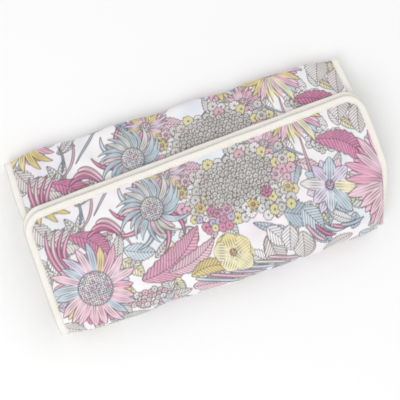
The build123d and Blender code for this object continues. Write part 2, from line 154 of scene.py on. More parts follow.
def place(x, run, depth):
    """Strip coordinates to metres, with the bag's soft shape."""
    x, run, depth = np.broadcast_arrays(x, run, depth)
    y, z, normal_y, normal_z = profile(run)
    # how far each panel swells outwards
    across = np.clip(1 - (x / 158.0) ** 2, 0, 1)
    flap = across * np.sin(np.pi * np.clip((run + 6) / 112.0, 0, 1)) * 2.2
    spine = across * np.sin(np.pi * np.clip((run - 100) / 40.0, 0, 1)) * 1.2
    top = across * np.sin(np.pi * np.clip((run - 292) / 66.0, 0, 1)) * 1.6
    wave = 0.32 * np.sin(x / 23.0 + run / 31.0) * np.sin(run / 17.0 + 1.0)
    edge = 0.45 * np.sin(x / 14.0 + 0.6) * ss(26, 0, run)
    edge = edge + 0.35 * np.sin(run / 9.0 + x / 60.0) * ss(128, 150, abs(x))
    swell = (flap + spine + top + wave + edge) * (1 - on_back(run))
    # the lining around the near spine moves less than the cover
    inner = ss(2.4, 3.2, depth) * band(run, 96, 108, 150, 175) * ss(149, 136, abs(x))
    depth = depth - swell * (1 - 0.8 * inner)
    # the near fold bows out and its +x end tucks in; both free ends lie a little askew
    shift_y = (
        (1 - ss(0, 95, run)) * (1.65 + 0.02633 * x)
        + band(run, 55, 106, 140, 205) * np.polyval(FOOT_SHIFT, x)
        + band(run, 225, 280, 300, 356) * (0.7 - 0.01667 * x)
    ) * (1 - 0.85 * inner)
    tuck = band(run, 74, 108, 137, 185)
    end_tuck = band(run, 62, 100, 137, 190)
    roll = band(run, 58, 92, 122, 150) * np.clip(x - 136, 0, None)
    shift_x = (-6.0 * tuck - 2.0 * end_tuck) * ss(104, 151, x)
    shift_x = shift_x + 0.8 * ss(-96, -151, x) * tuck - 0.55 * roll
    shift_z = -4.0 * ss(104, 151, x) * ss(45, 96, run) - 0.35 * roll
    shift_z = shift_z * (1 - ss(103, 124, run))
    return np.stack([
        x + shift_x,
        y + depth * normal_y + shift_y,
        z + depth * normal_z + shift_z,
    ], -1) * MM


# ---------------------------------------------------------------- mesh helpers
def mesh_object(name, verts, faces, uv=None):
    mesh = bpy.data.meshes.new(name)
    mesh.from_pydata([tuple(v) for v in verts], [], [tuple(f) for f in faces])
    mesh.update()
    mesh.polygons.foreach_set("use_smooth", np.ones(len(mesh.polygons), bool))
    if uv is not None:
        layer = mesh.uv_layers.new(name="UVMap")
        corners = np.zeros(len(mesh.loops), np.int32)
        mesh.loops.foreach_get("vertex_index", corners)
        layer.data.foreach_set("uv", np.asarray(uv, np.float32)[corners].ravel())
    obj = bpy.data.objects.new(name, mesh)
    scene.collection.objects.link(obj)
    return obj


def outwards(obj):
    """Turns a closed piece's faces to point out of it."""
    bm = bmesh.new()
    bm.from_mesh(obj.data)
    bmesh.ops.recalc_face_normals(bm, faces=bm.faces)
    bm.to_mesh(obj.data)
    bm.free()
    return obj


def grid_faces(rows, cols, flip=False):
    i, j = np.meshgrid(np.arange(rows - 1), np.arange(cols - 1), indexing="ij")
    first = (i * cols + j).ravel()
    faces = np.stack([first, first + 1, first + cols + 1, first + cols], -1)
    return faces[:, ::-1] if flip else faces


def tube_faces(rings, sides, closed=False):
    """Faces round a run of rings; closed joins the last ring to the first."""
    count = rings if closed else rings - 1
    i, j = np.meshgrid(np.arange(count), np.arange(sides), indexing="ij")
    here = (i * sides + j).ravel()
    beside = (i * sides + (j + 1) % sides).ravel()
    return np.stack([here, beside, beside + sides, here + sides], -1) % (rings * sides)


def rim(rows, cols):
    """Vertex indices round the outside of a grid."""
    return np.concatenate([
        np.arange(cols),
        np.arange(1, rows) * cols + cols - 1,
        (rows - 1) * cols + np.arange(cols - 2, -1, -1),
        np.arange(rows - 2, 0, -1) * cols,
    ])


def skirt_faces(top, low, flip=False):
    """Faces joining two matching closed rings."""
    faces = np.stack([top, low, np.roll(low, -1), np.roll(top, -1)], -1)
    return faces[:, ::-1] if flip else faces


def slab_faces(rows, cols, flip=False, flip_skirt=False):
    """Two matching grids, one after the other, joined round their rims."""
    size = rows * cols
    ring = rim(rows, cols)
    return np.concatenate([
        grid_faces(rows, cols, flip),
        grid_faces(rows, cols, not flip) + size,
        skirt_faces(ring, ring + size, flip_skirt),
    ])


def slab(name, x, run, top, low, flip=False):
    """A thin closed panel between two surfaces over the grid (x, run)."""
    uv = np.stack([x.ravel(), run.ravel()], -1) * MM
    faces = slab_faces(*x.shape, flip=flip, flip_skirt=flip)
    verts = np.concatenate([top, low])
    return outwards(mesh_object(name, verts, faces, np.concatenate([uv, uv])))


def panel(name, x_span, run_span, depth, thick, spacing=(3.0, 2.0), to_world=place, flip=False):
    """A slab over a rectangle, its depth given by a function."""
    xs, runs = (
        np.linspace(low, high, max(3, int((high - low) / step)))
        for (low, high), step in zip((x_span, run_span), spacing)
    )
    run, x = np.meshgrid(runs, xs, indexing="ij")
    level = depth(x, run)
    top, low = (to_world(x.ravel(), run.ravel(), n.ravel()) for n in (level, level + thick))
    return slab(name, x, run, top, low, flip)


def arc_length(points):
    """Distance covered at each point, measured in the first two columns."""
    steps = np.hypot(*np.diff(points[:, :2], axis=0).T)
    return np.concatenate([[0], np.cumsum(steps)])


# ------------------------------------------------- cloth simulation of the cover
DRAPE_GRID = (67, 79)
DRAPE_FRAMES = 20


def drape():
    """Heights in millimetres of the padded cover after it is blown up and settled.

    The cover is simulated flat, in strip coordinates: pinned under its binding,
    a little too big for it, pushed out by the padding and lightly held by it.
    """
    cols, rows = DRAPE_GRID
    x, run = np.meshgrid(
        np.linspace(-HALF_WIDTH, HALF_WIDTH, cols), np.linspace(0, END, rows), indexing="ij")
    z = 0.15 * np.random.RandomState(1).rand(cols, rows)
    verts = np.stack([x, run, z], -1).reshape(-1, 3) * MM
    faces = np.roll(grid_faces(cols, rows, flip=True), 1, axis=1)
    mesh = bpy.data.meshes.new("drape")
    mesh.from_pydata(verts.tolist(), [], faces.tolist())
    mesh.update()
    obj = bpy.data.objects.new("drape", mesh)
    scene.collection.objects.link(obj)
    # fully pinned within 6 mm of the edge, lightly held elsewhere
    pin = obj.vertex_groups.new(name="pin")
    from_edge = np.minimum(HALF_WIDTH - abs(x), np.minimum(run, END - run)).ravel()
    for k, weight in enumerate(np.where(from_edge < 6.0, 1.0, 0.10)):
        pin.add([k], float(weight), "REPLACE")
    cloth = obj.modifiers.new("cloth", "CLOTH")
    assign(
        cloth.settings,
        quality=6, mass=0.25,
        tension_stiffness=18, compression_stiffness=18, shear_stiffness=10, bending_stiffness=6.0,
        tension_damping=6, compression_damping=6, bending_damping=1.0, air_damping=2,
        vertex_group_mass="pin", pin_stiffness=1.0,
        use_pressure=True, uniform_pressure_force=4.0,
        shrink_min=-0.015,
    )
    cloth.settings.effector_weights.gravity = 0.0
    cloth.collision_settings.use_collision = False
    assign(cloth.point_cache, frame_start=1, frame_end=DRAPE_FRAMES)
    frames_before = scene.frame_start, scene.frame_end
    scene.frame_start, scene.frame_end = 1, DRAPE_FRAMES
    for number in range(1, DRAPE_FRAMES + 1):
        scene.frame_set(number)
    settled = obj.evaluated_get(bpy.context.evaluated_depsgraph_get()).data
    coords = np.zeros(len(settled.vertices) * 3, np.float32)
    settled.vertices.foreach_get("co", coords)
    scene.frame_set(1)
    scene.frame_start, scene.frame_end = frames_before
    bpy.data.objects.remove(obj)
    bpy.data.meshes.remove(mesh)
    return coords.reshape(cols, rows, 3)[..., 2].astype(float) / MM


DRAPE = drape()


def spline_weights(t):
    """Cubic B-spline weights of four neighbours."""
    return (
        (1 - t) ** 3 / 6,
        (3 * t**3 - 6 * t**2 + 4) / 6,
        (-3 * t**3 + 3 * t**2 + 3 * t + 1) / 6,
        t**3 / 6,
    )


def drape_height(x, run):
    """The simulated height, read smoothly, scaled down and capped."""
    x, run = np.broadcast_arrays(np.asarray(x, float), run)
    height = 0.0 * x
    if DRAPE is None:
        return height
    cols, rows = DRAPE.shape
    u = np.clip((x + HALF_WIDTH) / WIDTH * (cols - 1), 0, cols - 1.001)
    v = np.clip(run / END * (rows - 1), 0, rows - 1.001)
    col, row = np.floor(u).astype(int), np.floor(v).astype(int)
    for i, weight_u in enumerate(spline_weights(u - col)):
        for j, weight_v in enumerate(spline_weights(v - row)):
            near = np.clip(col + i - 1, 0, cols - 1), np.clip(row + j - 1, 0, rows - 1)
            height = height + weight_u * weight_v * DRAPE[near]
    return np.clip(height * 0.46, -1.1, 2.0)


# ------------------------------------------------------------- the cloth print
PERIOD = 149.5  # the print repeats along the run
INK = np.array([0.18, 0.155, 0.17])
PINK, MAGENTA, ROSE = (0.90, 0.55, 0.69), (0.83, 0.36, 0.58), (0.94, 0.73, 0.80)
BLUE, SKY, SLATE = (0.66, 0.77, 0.84), (0.80, 0.88, 0.93), (0.55, 0.64, 0.72)
MUSTARD, LEMON, LILAC = (0.89, 0.77, 0.36), (0.95, 0.91, 0.66), (0.82, 0.75, 0.88)
SAGE, STONE, WHITE = (0.83, 0.85, 0.81), (0.89, 0.87, 0.85), (0.965, 0.955, 0.955)
PALE = (0.86, 0.85, 0.83)

STRAY_LEAF_COLOURS = (STONE, SAGE, SKY, STONE, LILAC, ROSE, LEMON, STONE, WHITE, BLUE)
LEAVES = [
    # x, run, length, width, angle, colour
    (-88, 112, 30, 7, 0.25, SAGE), (-55, 106, 32, 7, -0.2, STONE),
    (-22, 104, 34, 8, 0.15, ROSE), (12, 108, 30, 7, -0.3, STONE),
    (34, 96, 26, 9, 1.35, STONE), (58, 99, 26, 9, 1.7, STONE),
    (76, 92, 24, 8.5, 1.25, BLUE), (88, 108, 28, 7, -0.25, STONE),
    (118, 112, 26, 7, 0.5, SKY), (40, 84, 22, 7, 0.9, WHITE),
    (49, 88, 20, 7, 1.9, WHITE), (62, 74, 24, 9.5, 0.35, BLUE),
    (72, 80, 22, 9, 1.0, SKY), (-138, 20, 26, 8, 1.1, STONE),
    (-140, 105, 24, 8, 0.7, STONE), (-70, 60, 26, 7, 0.4, SKY),
    (5, 64, 22, 6, 1.2, SAGE), (140, 20, 26, 8, 1.9, STONE),
    (66, 20, 24, 7, 2.2, STONE), (-10, 12, 26, 7, 0.3, ROSE),
    (128, 100, 24, 8, 2.4, SKY), (-124, 32, 30, 11, 0.5, (0.90, 0.87, 0.84)),
    (-132, 46, 26, 9, 1.3, WHITE), (100, 10, 30, 10, 0.7, WHITE),
    (128, 4, 28, 10, 2.0, STONE),
]
CLUSTERS = [
    # x, run, half size in x, half size in run, flower radius, seed, colours
    (22, 36, 52, 27, 4.4, 3.0, [STONE, PALE, WHITE, STONE, LEMON, PALE, ROSE, WHITE]),
    (24, 34, 33, 17, 2.3, 4.0, [STONE, PALE, PALE]),
    (-4, 58, 15, 9, 3.6, 5.0, [WHITE, LEMON, PINK, LILAC]),
    (52, 60, 15, 10, 4.0, 7.0, [WHITE, STONE, LEMON, PALE]),
    (-2, 130, 34, 12, 3.6, 9.0, [WHITE, STONE, MUSTARD, ROSE]),
    (-75, 96, 15, 8, 2.6, 11.0, [WHITE, STONE, ROSE]),
    (-134, 128, 22, 14, 3.3, 13.0, [WHITE, STONE, SKY]),
    (108, 28, 17, 8, 2.8, 15.0, [WHITE, STONE, PALE]),
    (-97, 40, 12, 6, 2.6, 17.0, [WHITE, STONE, ROSE]),
]
BLOSSOMS = [
    # x, run, colour
    (-12, 44, MUSTARD), (-4, 50, MAGENTA), (8, 52, PINK), (30, 56, MUSTARD), (44, 50, MAGENTA),
    (56, 40, ROSE), (-22, 28, MUSTARD), (62, 52, MUSTARD), (-16, 20, ROSE), (66, 30, STONE),
]
FRONDS = [
    # x, run, length, width, angle, colour, hatch spacing, bend
    (-44, 76, 62, 10.5, -0.42, PINK, 2.8, 0.5),
    (-30, 80, 46, 6.5, -0.30, ROSE, 2.6, 0.4),
    (-20, 88, 34, 6, 0.1, MUSTARD, 2.6, -0.5),
    (122, 36, 52, 9, 0.75, MAGENTA, 2.8, -0.7),
    (-100, 42, 44, 8.5, 1.0, MAGENTA, 2.6, -0.8),
]
# Flowers: x, run, radius, petals, turn, petal width and centre radius as shares of the radius,
# seed, curl, droop, hatch spacing, petal tip power, centre colour, petal colours
BACK_FLOWERS = [
    (-30, 8, 22, 15, 0.3, 0.11, 0.2, 24.0, 0.2, 0.25, 2.0, 0.8, STONE,
     [ROSE, PINK, MUSTARD, ROSE, PINK, LILAC]),
    (56, 14, 20, 13, 0.3, 0.12, 0.2, 26.0, -0.2, 0.25, 2.0, 0.8, STONE,
     [ROSE, LEMON, BLUE, ROSE, PINK]),
]
FIRST_BLOOM = (
    -112, 75, 38, 21, 0.2, 0.105, 0.36, 2.0, 0.12, 0.16, 1.9, 0.8, STONE,
    [PINK, ROSE, MAGENTA, LILAC, MUSTARD, BLUE, ROSE, PINK, BLUE, ROSE])
BLOOMS = [
    (-49, 31, 32, 13, 0.5, 0.075, 0.30, 4.0, 0.7, 0.5, 1.7, 0.8, SAGE,
     [BLUE, SKY, BLUE, ROSE, BLUE, SAGE]),
    (96, 62, 26, 8, 0.35, 0.22, 0.14, 6.0, 0.0, 0.0, 2.1, 0.8, LILAC,
     [STONE, ROSE, BLUE, SKY, LILAC, ROSE, SKY, LEMON]),
    (1, 84, 19, 5, -0.3, 0.42, 0.13, 8.0, 0.0, 0.0, 2.0, 1.0, MUSTARD,
     [LEMON, MUSTARD, LEMON, (0.93, 0.85, 0.52)]),
    (150, 74, 44, 22, 0.0, 0.115, 0.14, 10.0, 0.0, 0.0, 2.1, 0.8, STONE,
     [ROSE, PINK, ROSE, ROSE, (0.93, 0.72, 0.80)]),
    (86, -6, 34, 19, 0.1, 0.10, 0.13, 12.0, -0.25, 0.3, 1.8, 0.8, STONE,
     [MUSTARD, LEMON, PINK, BLUE, ROSE, LILAC, LEMON, ROSE]),
    (-128, -14, 30, 17, 0.6, 0.11, 0.2, 14.0, 0.3, 0.2, 1.8, 0.8, STONE,
     [ROSE, LEMON, SKY, PINK, MUSTARD]),
    (40, 134, 24, 13, 0.1, 0.14, 0.2, 16.0, 0.0, 0.0, 1.9, 0.8, STONE,
     [PINK, LILAC, MUSTARD, SKY]),
    (-60, 124, 24, 13, 0.4, 0.13, 0.22, 18.0, 0.3, 0.0, 1.9, 0.8, STONE,
     [BLUE, ROSE, SKY, MAGENTA]),
    (122, 128, 22, 10, 0.7, 0.18, 0.2, 20.0, 0.0, 0.0, 1.9, 0.8, STONE,
     [LEMON, ROSE, BLUE]),
]


def chance(*keys):
    """A repeatable number from 0 to 1 for some keys, numbers or arrays."""
    mixed = sum(key * factor for key, factor in zip(keys, (12.9898, 78.233, 37.719, 4.581)))
    value = np.sin(mixed) * 43758.5453
    return value - np.floor(value)


def stroke(distance, width):
    """Strength of an ink line at a distance from its middle."""
    return np.exp(-((distance / width) ** 2))


class Print:
    """A field of cloth points that motifs are drawn onto."""

    def __init__(self, x, run):
        self.x = x
        self.run = run
        ground = np.array(WHITE)[None, :] * np.ones((len(x), 3))
        blue = np.sin(x / 19 + 1.3 * np.sin(run / 23)) * np.sin(run / 15 + 1.1 * np.sin(x / 29 + 2))
        pink = np.sin(x / 27 + 4 + np.sin(run / 13)) * np.sin(run / 21 + 2)
        phase = run / PERIOD * 2 * np.pi
        blue = 0.5 * blue + 0.5 * np.sin(x / 21 + 2 * np.sin(phase)) * np.cos(phase * 2 + x / 60)
        ground += np.clip(blue, 0, 1)[:, None] * (np.array(SKY) - ground) * 0.55
        ground += np.clip(pink, 0, 1)[:, None] * (np.array((0.94, 0.88, 0.92)) - ground) * 0.6
        self.rgb = ground

    def near(self, x, run, reach):
        """Indices of the points round a place, and their offsets from it."""
        off_x = self.x - x
        off_run = (self.run - run + PERIOD / 2) % PERIOD - PERIOD / 2
        at = np.nonzero((abs(off_x) < reach) & (abs(off_run) < reach))[0]
        return at, off_x[at], off_run[at]

    def lay(self, at, cover, rgb):
        cover = np.clip(cover, 0, 1)[:, None]
        self.rgb[at] = self.rgb[at] * (1 - cover) + np.asarray(rgb) * cover

    def ink(self, at, cover, strength):
        self.lay(at, cover * strength, INK)


def lens(share, width, power):
    """Half width of a petal at a share of its length."""
    return width * np.sin(np.pi * np.clip(share, 0, 1) ** power) ** 0.75


def petal_layer(field, at, off_x, off_run, layer, flower_row):
    """One ring of petals; layer 1 is the ring behind."""
    _, _, radius, petals, turn, width, centre, seed, curl, droop, hatch, tip, _, cols = flower_row
    r = np.hypot(off_x, off_run)
    angle = np.arctan2(off_run, off_x) - turn - layer * math.pi / petals
    angle = angle + curl * (r / radius) ** 2
    k = np.round(angle * petals / (2 * math.pi))
    petal = np.mod(k, petals)
    angle = angle - k * 2 * math.pi / petals
    length = radius * (0.78 + 0.24 * chance(petal, seed + layer)) * (0.9 if layer else 1.0)
    root = radius * centre * 0.8
    share = (r * np.cos(angle) - root) / (length - root)
    side = r * np.sin(angle) + droop * radius * (chance(petal, seed + 5) - 0.5) * share**2
    half = lens(share, width * radius * (0.85 + 0.3 * chance(petal, seed + 2)), tip)
    inside = half - abs(side)
    ok = ((share > 0) & (share < 1) & (r < radius * 1.2)).astype(float)
    # colour, paler towards the root and along the veins
    pick = np.floor(chance(petal, seed + 3 + layer * 7) * len(cols)).astype(int)
    fade = 0.35 * (0.5 - 0.5 * np.clip(share, 0, 1))[:, None]
    colour = np.array(cols)[pick] * (1 - fade) + np.array(WHITE) * fade
    vein = 0.5 + 0.5 * np.cos(2 * math.pi * side / hatch)
    pale = (vein * 0.35 + vein**4 * 0.3 * (chance(petal, seed + 4) > 0.35))[:, None]
    colour = colour * (1 - pale) + np.array(WHITE) * pale
    field.lay(at, ss(-0.35, 0.35, inside) * ok * 0.93, colour)
    # outline, veins and midrib
    line = stroke(inside, 0.42) * ok
    dark = (1 - vein) ** 3 * (0.55 + 0.45 * np.sin(share * 9 + petal)) * ss(1.0, 0.55, share)
    dark = dark * (inside > 0.25) * ok
    mid = stroke(side, 0.35) * ss(0.9, 0.3, share) * (inside > 0) * ok * 0.6
    field.ink(at, np.clip(line * 0.85 + dark * 0.75 + mid * 0.4, 0, 1), 0.78)


def flower(field, row):
    """A flower from a row of the flower tables: two rings of petals and a dotted centre."""
    x, run, radius = row[:3]
    centre, face = row[6], row[12]
    at, off_x, off_run = field.near(x, run, radius * 1.25)
    if not len(at):
        return
    for layer in (1, 0):
        petal_layer(field, at, off_x, off_run, layer, row)
    r = np.hypot(off_x, off_run)
    disc_radius = radius * centre
    disc = ss(0.5, -0.5, r - disc_radius)
    field.lay(at, disc, face)
    cell = 1.7
    key = np.floor(off_x / cell) * 17.0 + np.floor(off_run / cell) * 31.0
    dot_x = np.mod(off_x, cell) / cell - 0.3 - 0.4 * chance(key, 3.0)
    dot_run = np.mod(off_run, cell) / cell - 0.3 - 0.4 * chance(key, 7.0)
    dot = ss(0.44, 0.2, np.hypot(dot_x, dot_run))
    tints = np.array([MAGENTA, SLATE, SLATE, LILAC])
    tint = tints[np.floor(chance(key, 9.0) * 4).astype(int)]
    field.lay(at, disc * 0.55 * (chance(key, 11.0) > 0.4), tint)
    field.ink(at, disc * dot, 0.85)
    field.ink(at, stroke(r - disc_radius, 0.5), 0.5)


def leaf(field, x, run, length, width, angle, colour, hatch, bend=0.15, fill=0.9):
    at, off_x, off_run = field.near(x, run, length * 0.75)
    if not len(at):
        return
    cos, sin = math.cos(angle), math.sin(angle)
    share = (off_x * cos + off_run * sin) / length + 0.5
    side = -off_x * sin + off_run * cos + bend * length * (share - 0.5) ** 2
    inside = lens(share, width, 0.9) * (1 + 0.06 * np.sin(share * 50)) - abs(side)
    ok = ((share > 0) & (share < 1)).astype(float)
    tone = np.array(colour)[None, :] * (0.95 + 0.08 * (side > 0))[:, None]
    dist = share * length
    mottle = np.sin(dist * 2.1 + 1.5 * np.sin(side * 1.9))
    mottle = mottle * np.sin(side * 2.3 + 1.2 * np.sin(dist * 1.1))
    light = (0.28 * ss(0.1, 0.8, mottle) + 0.12)[:, None]
    tone = tone * (1 - light) + np.array(WHITE) * light
    field.lay(at, ss(-0.3, 0.3, inside) * ok * fill, np.clip(tone, 0, 1))
    vein = 0.5 + 0.5 * np.cos(2 * math.pi * (dist - abs(side) * 0.9) / hatch)
    ink = stroke(inside, 0.42) * 0.85 + stroke(side, 0.35) * 0.7 * (inside > 0)
    ink = ink + vein**3 * 0.7 * (inside > 0.2)
    field.ink(at, np.clip(ink, 0, 1) * ok, 0.68)


def ribbon(field, points, width, colour, lined=True):
    """A tapered curved petal along a quadratic curve."""
    start, bend, end = (np.array(p, float) for p in points)
    t = np.linspace(0, 1, 26)[:, None]
    curve = (1 - t) ** 2 * start + 2 * t * (1 - t) * bend + t**2 * end
    middle = curve.mean(0)
    curve = curve - middle
    reach = float(np.abs(curve).max()) + width + 2
    at, off_x, off_run = field.near(middle[0], middle[1], reach)
    if not len(at):
        return
    spots = np.stack([off_x, off_run], -1)
    nearest = np.full(len(at), 1e9)
    share = np.zeros(len(at))
    for k in range(len(curve) - 1):
        chord = curve[k + 1] - curve[k]
        along = np.clip(((spots - curve[k]) @ chord) / max(chord @ chord, 1e-9), 0, 1)
        distance = np.hypot(*(spots - curve[k] - along[:, None] * chord).T)
        closer = distance < nearest
        nearest[closer] = distance[closer]
        share[closer] = (k + along[closer]) / (len(curve) - 1)
    taper = np.sin(np.pi * np.clip(share * 0.92 + 0.04, 0, 1) ** 0.7) ** 0.8
    inside = width * taper - nearest
    shade = np.array(colour)[None, :] * (0.97 + 0.06 * np.cos(share * 9))[:, None]
    field.lay(at, ss(-0.35, 0.35, inside) * 0.93, np.clip(shade, 0, 1))
    ink = stroke(inside, 0.42) * 0.85
    if lined:
        field.lay(at, ss(0.5, 0.0, nearest) * 0.45 * (inside > 0), WHITE)
        ink = ink + stroke(nearest - 1.05, 0.3) * 0.6 * (inside > 0.35)
    field.ink(at, ink, 0.74)


def cluster(field, x, run, half_x, half_run, radius, seed, colours):
    """Many tiny round flowers in line work, packed in an oval."""
    gap = 1.55 * radius
    points = []
    row = 0
    v = -half_run
    while v < half_run:
        u = -half_x + (gap / 2 if row % 2 else 0)
        while u < half_x:
            if (u / half_x) ** 2 + (v / half_run) ** 2 < 0.85 + 0.3 * chance(u, v, seed):
                points.append((
                    u + gap * 0.5 * (chance(u, v, seed + 1) - 0.5),
                    v + gap * 0.5 * (chance(u, v, seed + 2) - 0.5)))
            u += gap
        v += gap * 0.86
        row += 1
    for k, (u, v) in enumerate(points, 1):
        colour = colours[int(chance(k, seed) * len(colours))]
        size = radius * (0.82 + 0.35 * chance(k, seed + 3))
        at, off_x, off_run = field.near(x + u, run + v, size * 1.2)
        if not len(at):
            continue
        r = np.hypot(off_x, off_run)
        angle = np.arctan2(off_run, off_x) + k
        petals = 5 + int(3 * chance(k, seed + 4))
        edge = size * (0.86 + 0.14 * abs(np.cos(angle * petals / 2)))
        field.lay(at, ss(0.3, -0.3, r - edge) * 0.95, colour)
        rays = ss(0.4, 1.0, np.cos(angle * petals * (2 if size > 3 else 1)))
        rays = rays * (r < edge) * (r > size * 0.2) * (0.75 - 0.3 * r / size)
        ink = stroke(r - edge, 0.34) * 0.8 + rays + ss(size * 0.3, size * 0.12, r) * 0.8
        field.ink(at, np.clip(ink, 0, 1), 0.78)


def draw_strays(field):
    """Leaves and stems scattered behind everything."""
    for k in range(180):
        leaf(
            field, chance(k, 1.0) * 310 - 155, chance(k, 2.0) * PERIOD,
            14 + 14 * chance(k, 4.0), 3.0 + 3 * chance(k, 5.0), chance(k, 6.0) * 6.28,
            STRAY_LEAF_COLOURS[int(chance(k, 3.0) * 10)],
            hatch=2.2 + 0.9 * chance(k, 8.0), bend=0.5 * (chance(k, 7.0) - 0.5), fill=0.75)
    for k in range(26):
        x, run = chance(k, 21.0) * 300 - 150, chance(k, 22.0) * PERIOD
        angle = chance(k, 23.0) * 6.28
        length = 12 + 12 * chance(k, 24.0)
        end_angle = angle + 1.2 * (chance(k, 25.0) - 0.5)
        bend = (x + length * math.cos(angle), run + length * math.sin(angle))
        end = (x + 1.7 * length * math.cos(end_angle), run + 1.7 * length * math.sin(end_angle))
        colour = (STONE, SLATE, ROSE, BLUE)[k % 4]
        ribbon(field, [(x, run), bend, end], 0.9, colour, lined=False)


def draw_petal_sprays(field):
    """Three fans of curled petals."""
    for k, colour in enumerate((PINK, MAGENTA, ROSE, PINK)):
        t = k / 3
        curve = [(-118 - 13 * t, 60 - 2 * t), (-138 - 4 * t, 42 - 6 * t), (-112 - 22 * t, 22 - 4 * t)]
        ribbon(field, curve, 2.1, colour)
    for k, colour in enumerate((MAGENTA, PINK, ROSE)):
        curve = [(-104 + 5 * k, 34 - 4 * k), (-90 + 4 * k, 26 - 2 * k), (-82 + 4 * k, 40 + 6 * k)]
        ribbon(field, curve, 2.2, colour)
    for k, colour in enumerate((SKY, ROSE, LILAC, SKY, STONE, ROSE)):
        t = k / 5
        curve = [(-34 + 62 * t, 94 + 3 * t), (-14 + 58 * t, 104), (4 + 50 * t, 112 - 4 * t)]
        ribbon(field, curve, 2.0, colour)


def draw_blooms(field):
    """The large flowers, one of them over a whorl of curled petals."""
    flower(field, FIRST_BLOOM)
    x, run = BLOOMS[0][:2]
    for k, colour in enumerate((MAGENTA, PINK, BLUE, PINK, MAGENTA, SKY, PINK)):
        angle = 0.5 + 0.62 * k
        far = 31 + 5 * chance(k, 31.0)
        curve = [
            (x + reach * math.cos(turned), run + reach * math.sin(turned))
            for reach, turned in ((7, angle), (27, angle), (far, angle + 0.5))
        ]
        ribbon(field, curve, 2.1, colour)
    for row in BLOOMS:
        flower(field, row)
    for k, colour in enumerate((ROSE, MAGENTA, SKY, PINK, BLUE)):
        curve = [(66 + 7 * k, 84 + 2 * k), (70 + 8 * k, 96), (78 + 9 * k, 100 - 2 * k)]
        ribbon(field, curve, 1.9, colour)


def print_at(x, run):
    """The printed colour at strip points, as linear RGB."""
    field = Print(x, run)
    draw_strays(field)
    for row in LEAVES:
        leaf(field, *row, hatch=2.7)
    for row in BACK_FLOWERS:
        flower(field, row)
    for row in CLUSTERS:
        cluster(field, *row)
    for blossom_x, blossom_run, colour in BLOSSOMS:
        flower(field, (blossom_x, blossom_run, 5.6, 6, blossom_x, 0.36, 0.22, blossom_run,
                       0.0, 0.0, 1.6, 0.8, STONE, [colour]))
    for row in FRONDS:
        leaf(field, *row)
    draw_petal_sprays(field)
    draw_blooms(field)
    wash = np.sin(x / 5.3 + np.sin(run / 4.1)) * np.sin(run / 6.7 + np.sin(x / 7.9))
    rgb = field.rgb * (1 - 0.05 * (0.5 + 0.5 * wash)[:, None])
    return np.clip(rgb, 0, 1) ** 2.2


# ------------------------------------------------------- cloth sheets of the strip
SHEET_INSET = 4.0  # the sheets stop this far inside the strip's edge, under the binding


def outline_limit(run, inset):
    """Half width of the strip at a run, with the free ends' rounded corners."""
    limit = np.full_like(run, HALF_WIDTH - inset)
    for end, sign, radius in ((0.0, 1, FLAP_RADIUS), (END, -1, TOP_RADIUS)):
        distance = (run - end) * sign - inset
        inner = radius - inset
        on = distance < inner
        rise = inner - np.clip(distance[on], 0, inner)
        limit[on] = HALF_WIDTH - radius + np.sqrt(np.clip(inner**2 - rise**2, 0, None))
    return limit


def puff_outer(x, run):
    """Extra height of the padded cover between its bindings."""
    edge = outline_limit(run.ravel(), 4.8).reshape(run.shape) - abs(x)
    edge = np.minimum(np.minimum(edge, 400), np.minimum(run - 4.8, END - 4.8 - run))
    edge = np.clip(edge, 0, None)
    lift = 1.5 * (1 - np.exp(-edge / 9.0)) + drape_height(x, run) * (1 - np.exp(-edge / 5.0))
    # puckers along the sides and along the flap's free edge
    side = np.sin(run / 4.2 + 0.8 * np.sin(x / 9)) * np.exp(-((abs(x) - 143) ** 2) / 50)
    pucker = 0.16 * side + 0.14 * np.sin(x / 5.0) * np.exp(-((run - 6) ** 2) / 50)
    back = on_back(run)
    return (lift + pucker) * (1 - back) + back * 0.45 * (1 - np.exp(-edge / 6.0))


def puff_inner(x, run):
    """The lining's shallower swelling, to the inside."""
    edge = np.minimum(144 - abs(x), np.minimum(run - 5.0, END - 5.0 - run))
    lift = 0.45 + np.clip(0.3 * drape_height(-x, run), -0.3, 0.3)
    return -lift * (1 - np.exp(-np.clip(edge, 0, None) / 8.0))


def sheet_rows(start, end, step):
    """Runs of a sheet's rows, closer together round the folds."""
    if abs(start) < 1:
        start = SHEET_INSET
    if abs(end - END) < 1:
        end = END - SHEET_INSET
    rows = [start]
    while rows[-1] < end - 1e-6:
        stride = step
        for fold_run, _, radius, _, _, _ in FOLDS:
            if abs(rows[-1] - fold_run) < radius * 1.3:
                stride = min(step, 0.9 if radius < 8 else 1.2)
        rows.append(rows[-1] + stride)
    rows[-1] = end
    return np.array(rows)


def crease_rim(mesh, rows, cols):
    """Marks the edges round the face grid sharp."""
    ends = np.zeros(len(mesh.edges) * 2, np.int32)
    mesh.edges.foreach_get("vertices", ends)
    p, q = ends.reshape(-1, 2).T
    row_p, col_p, row_q, col_q = p // cols, p % cols, q // cols, q % cols
    on_end = (row_p == row_q) & ((row_p == 0) | (row_p == rows - 1))
    on_side = (col_p == col_q) & ((col_p == 0) | (col_p == cols - 1))
    crease = (on_end | on_side) & (p < rows * cols) & (q < rows * cols)
    sharp = mesh.attributes.new("sharp_edge", "BOOLEAN", "EDGE")
    sharp.data.foreach_set("value", crease)


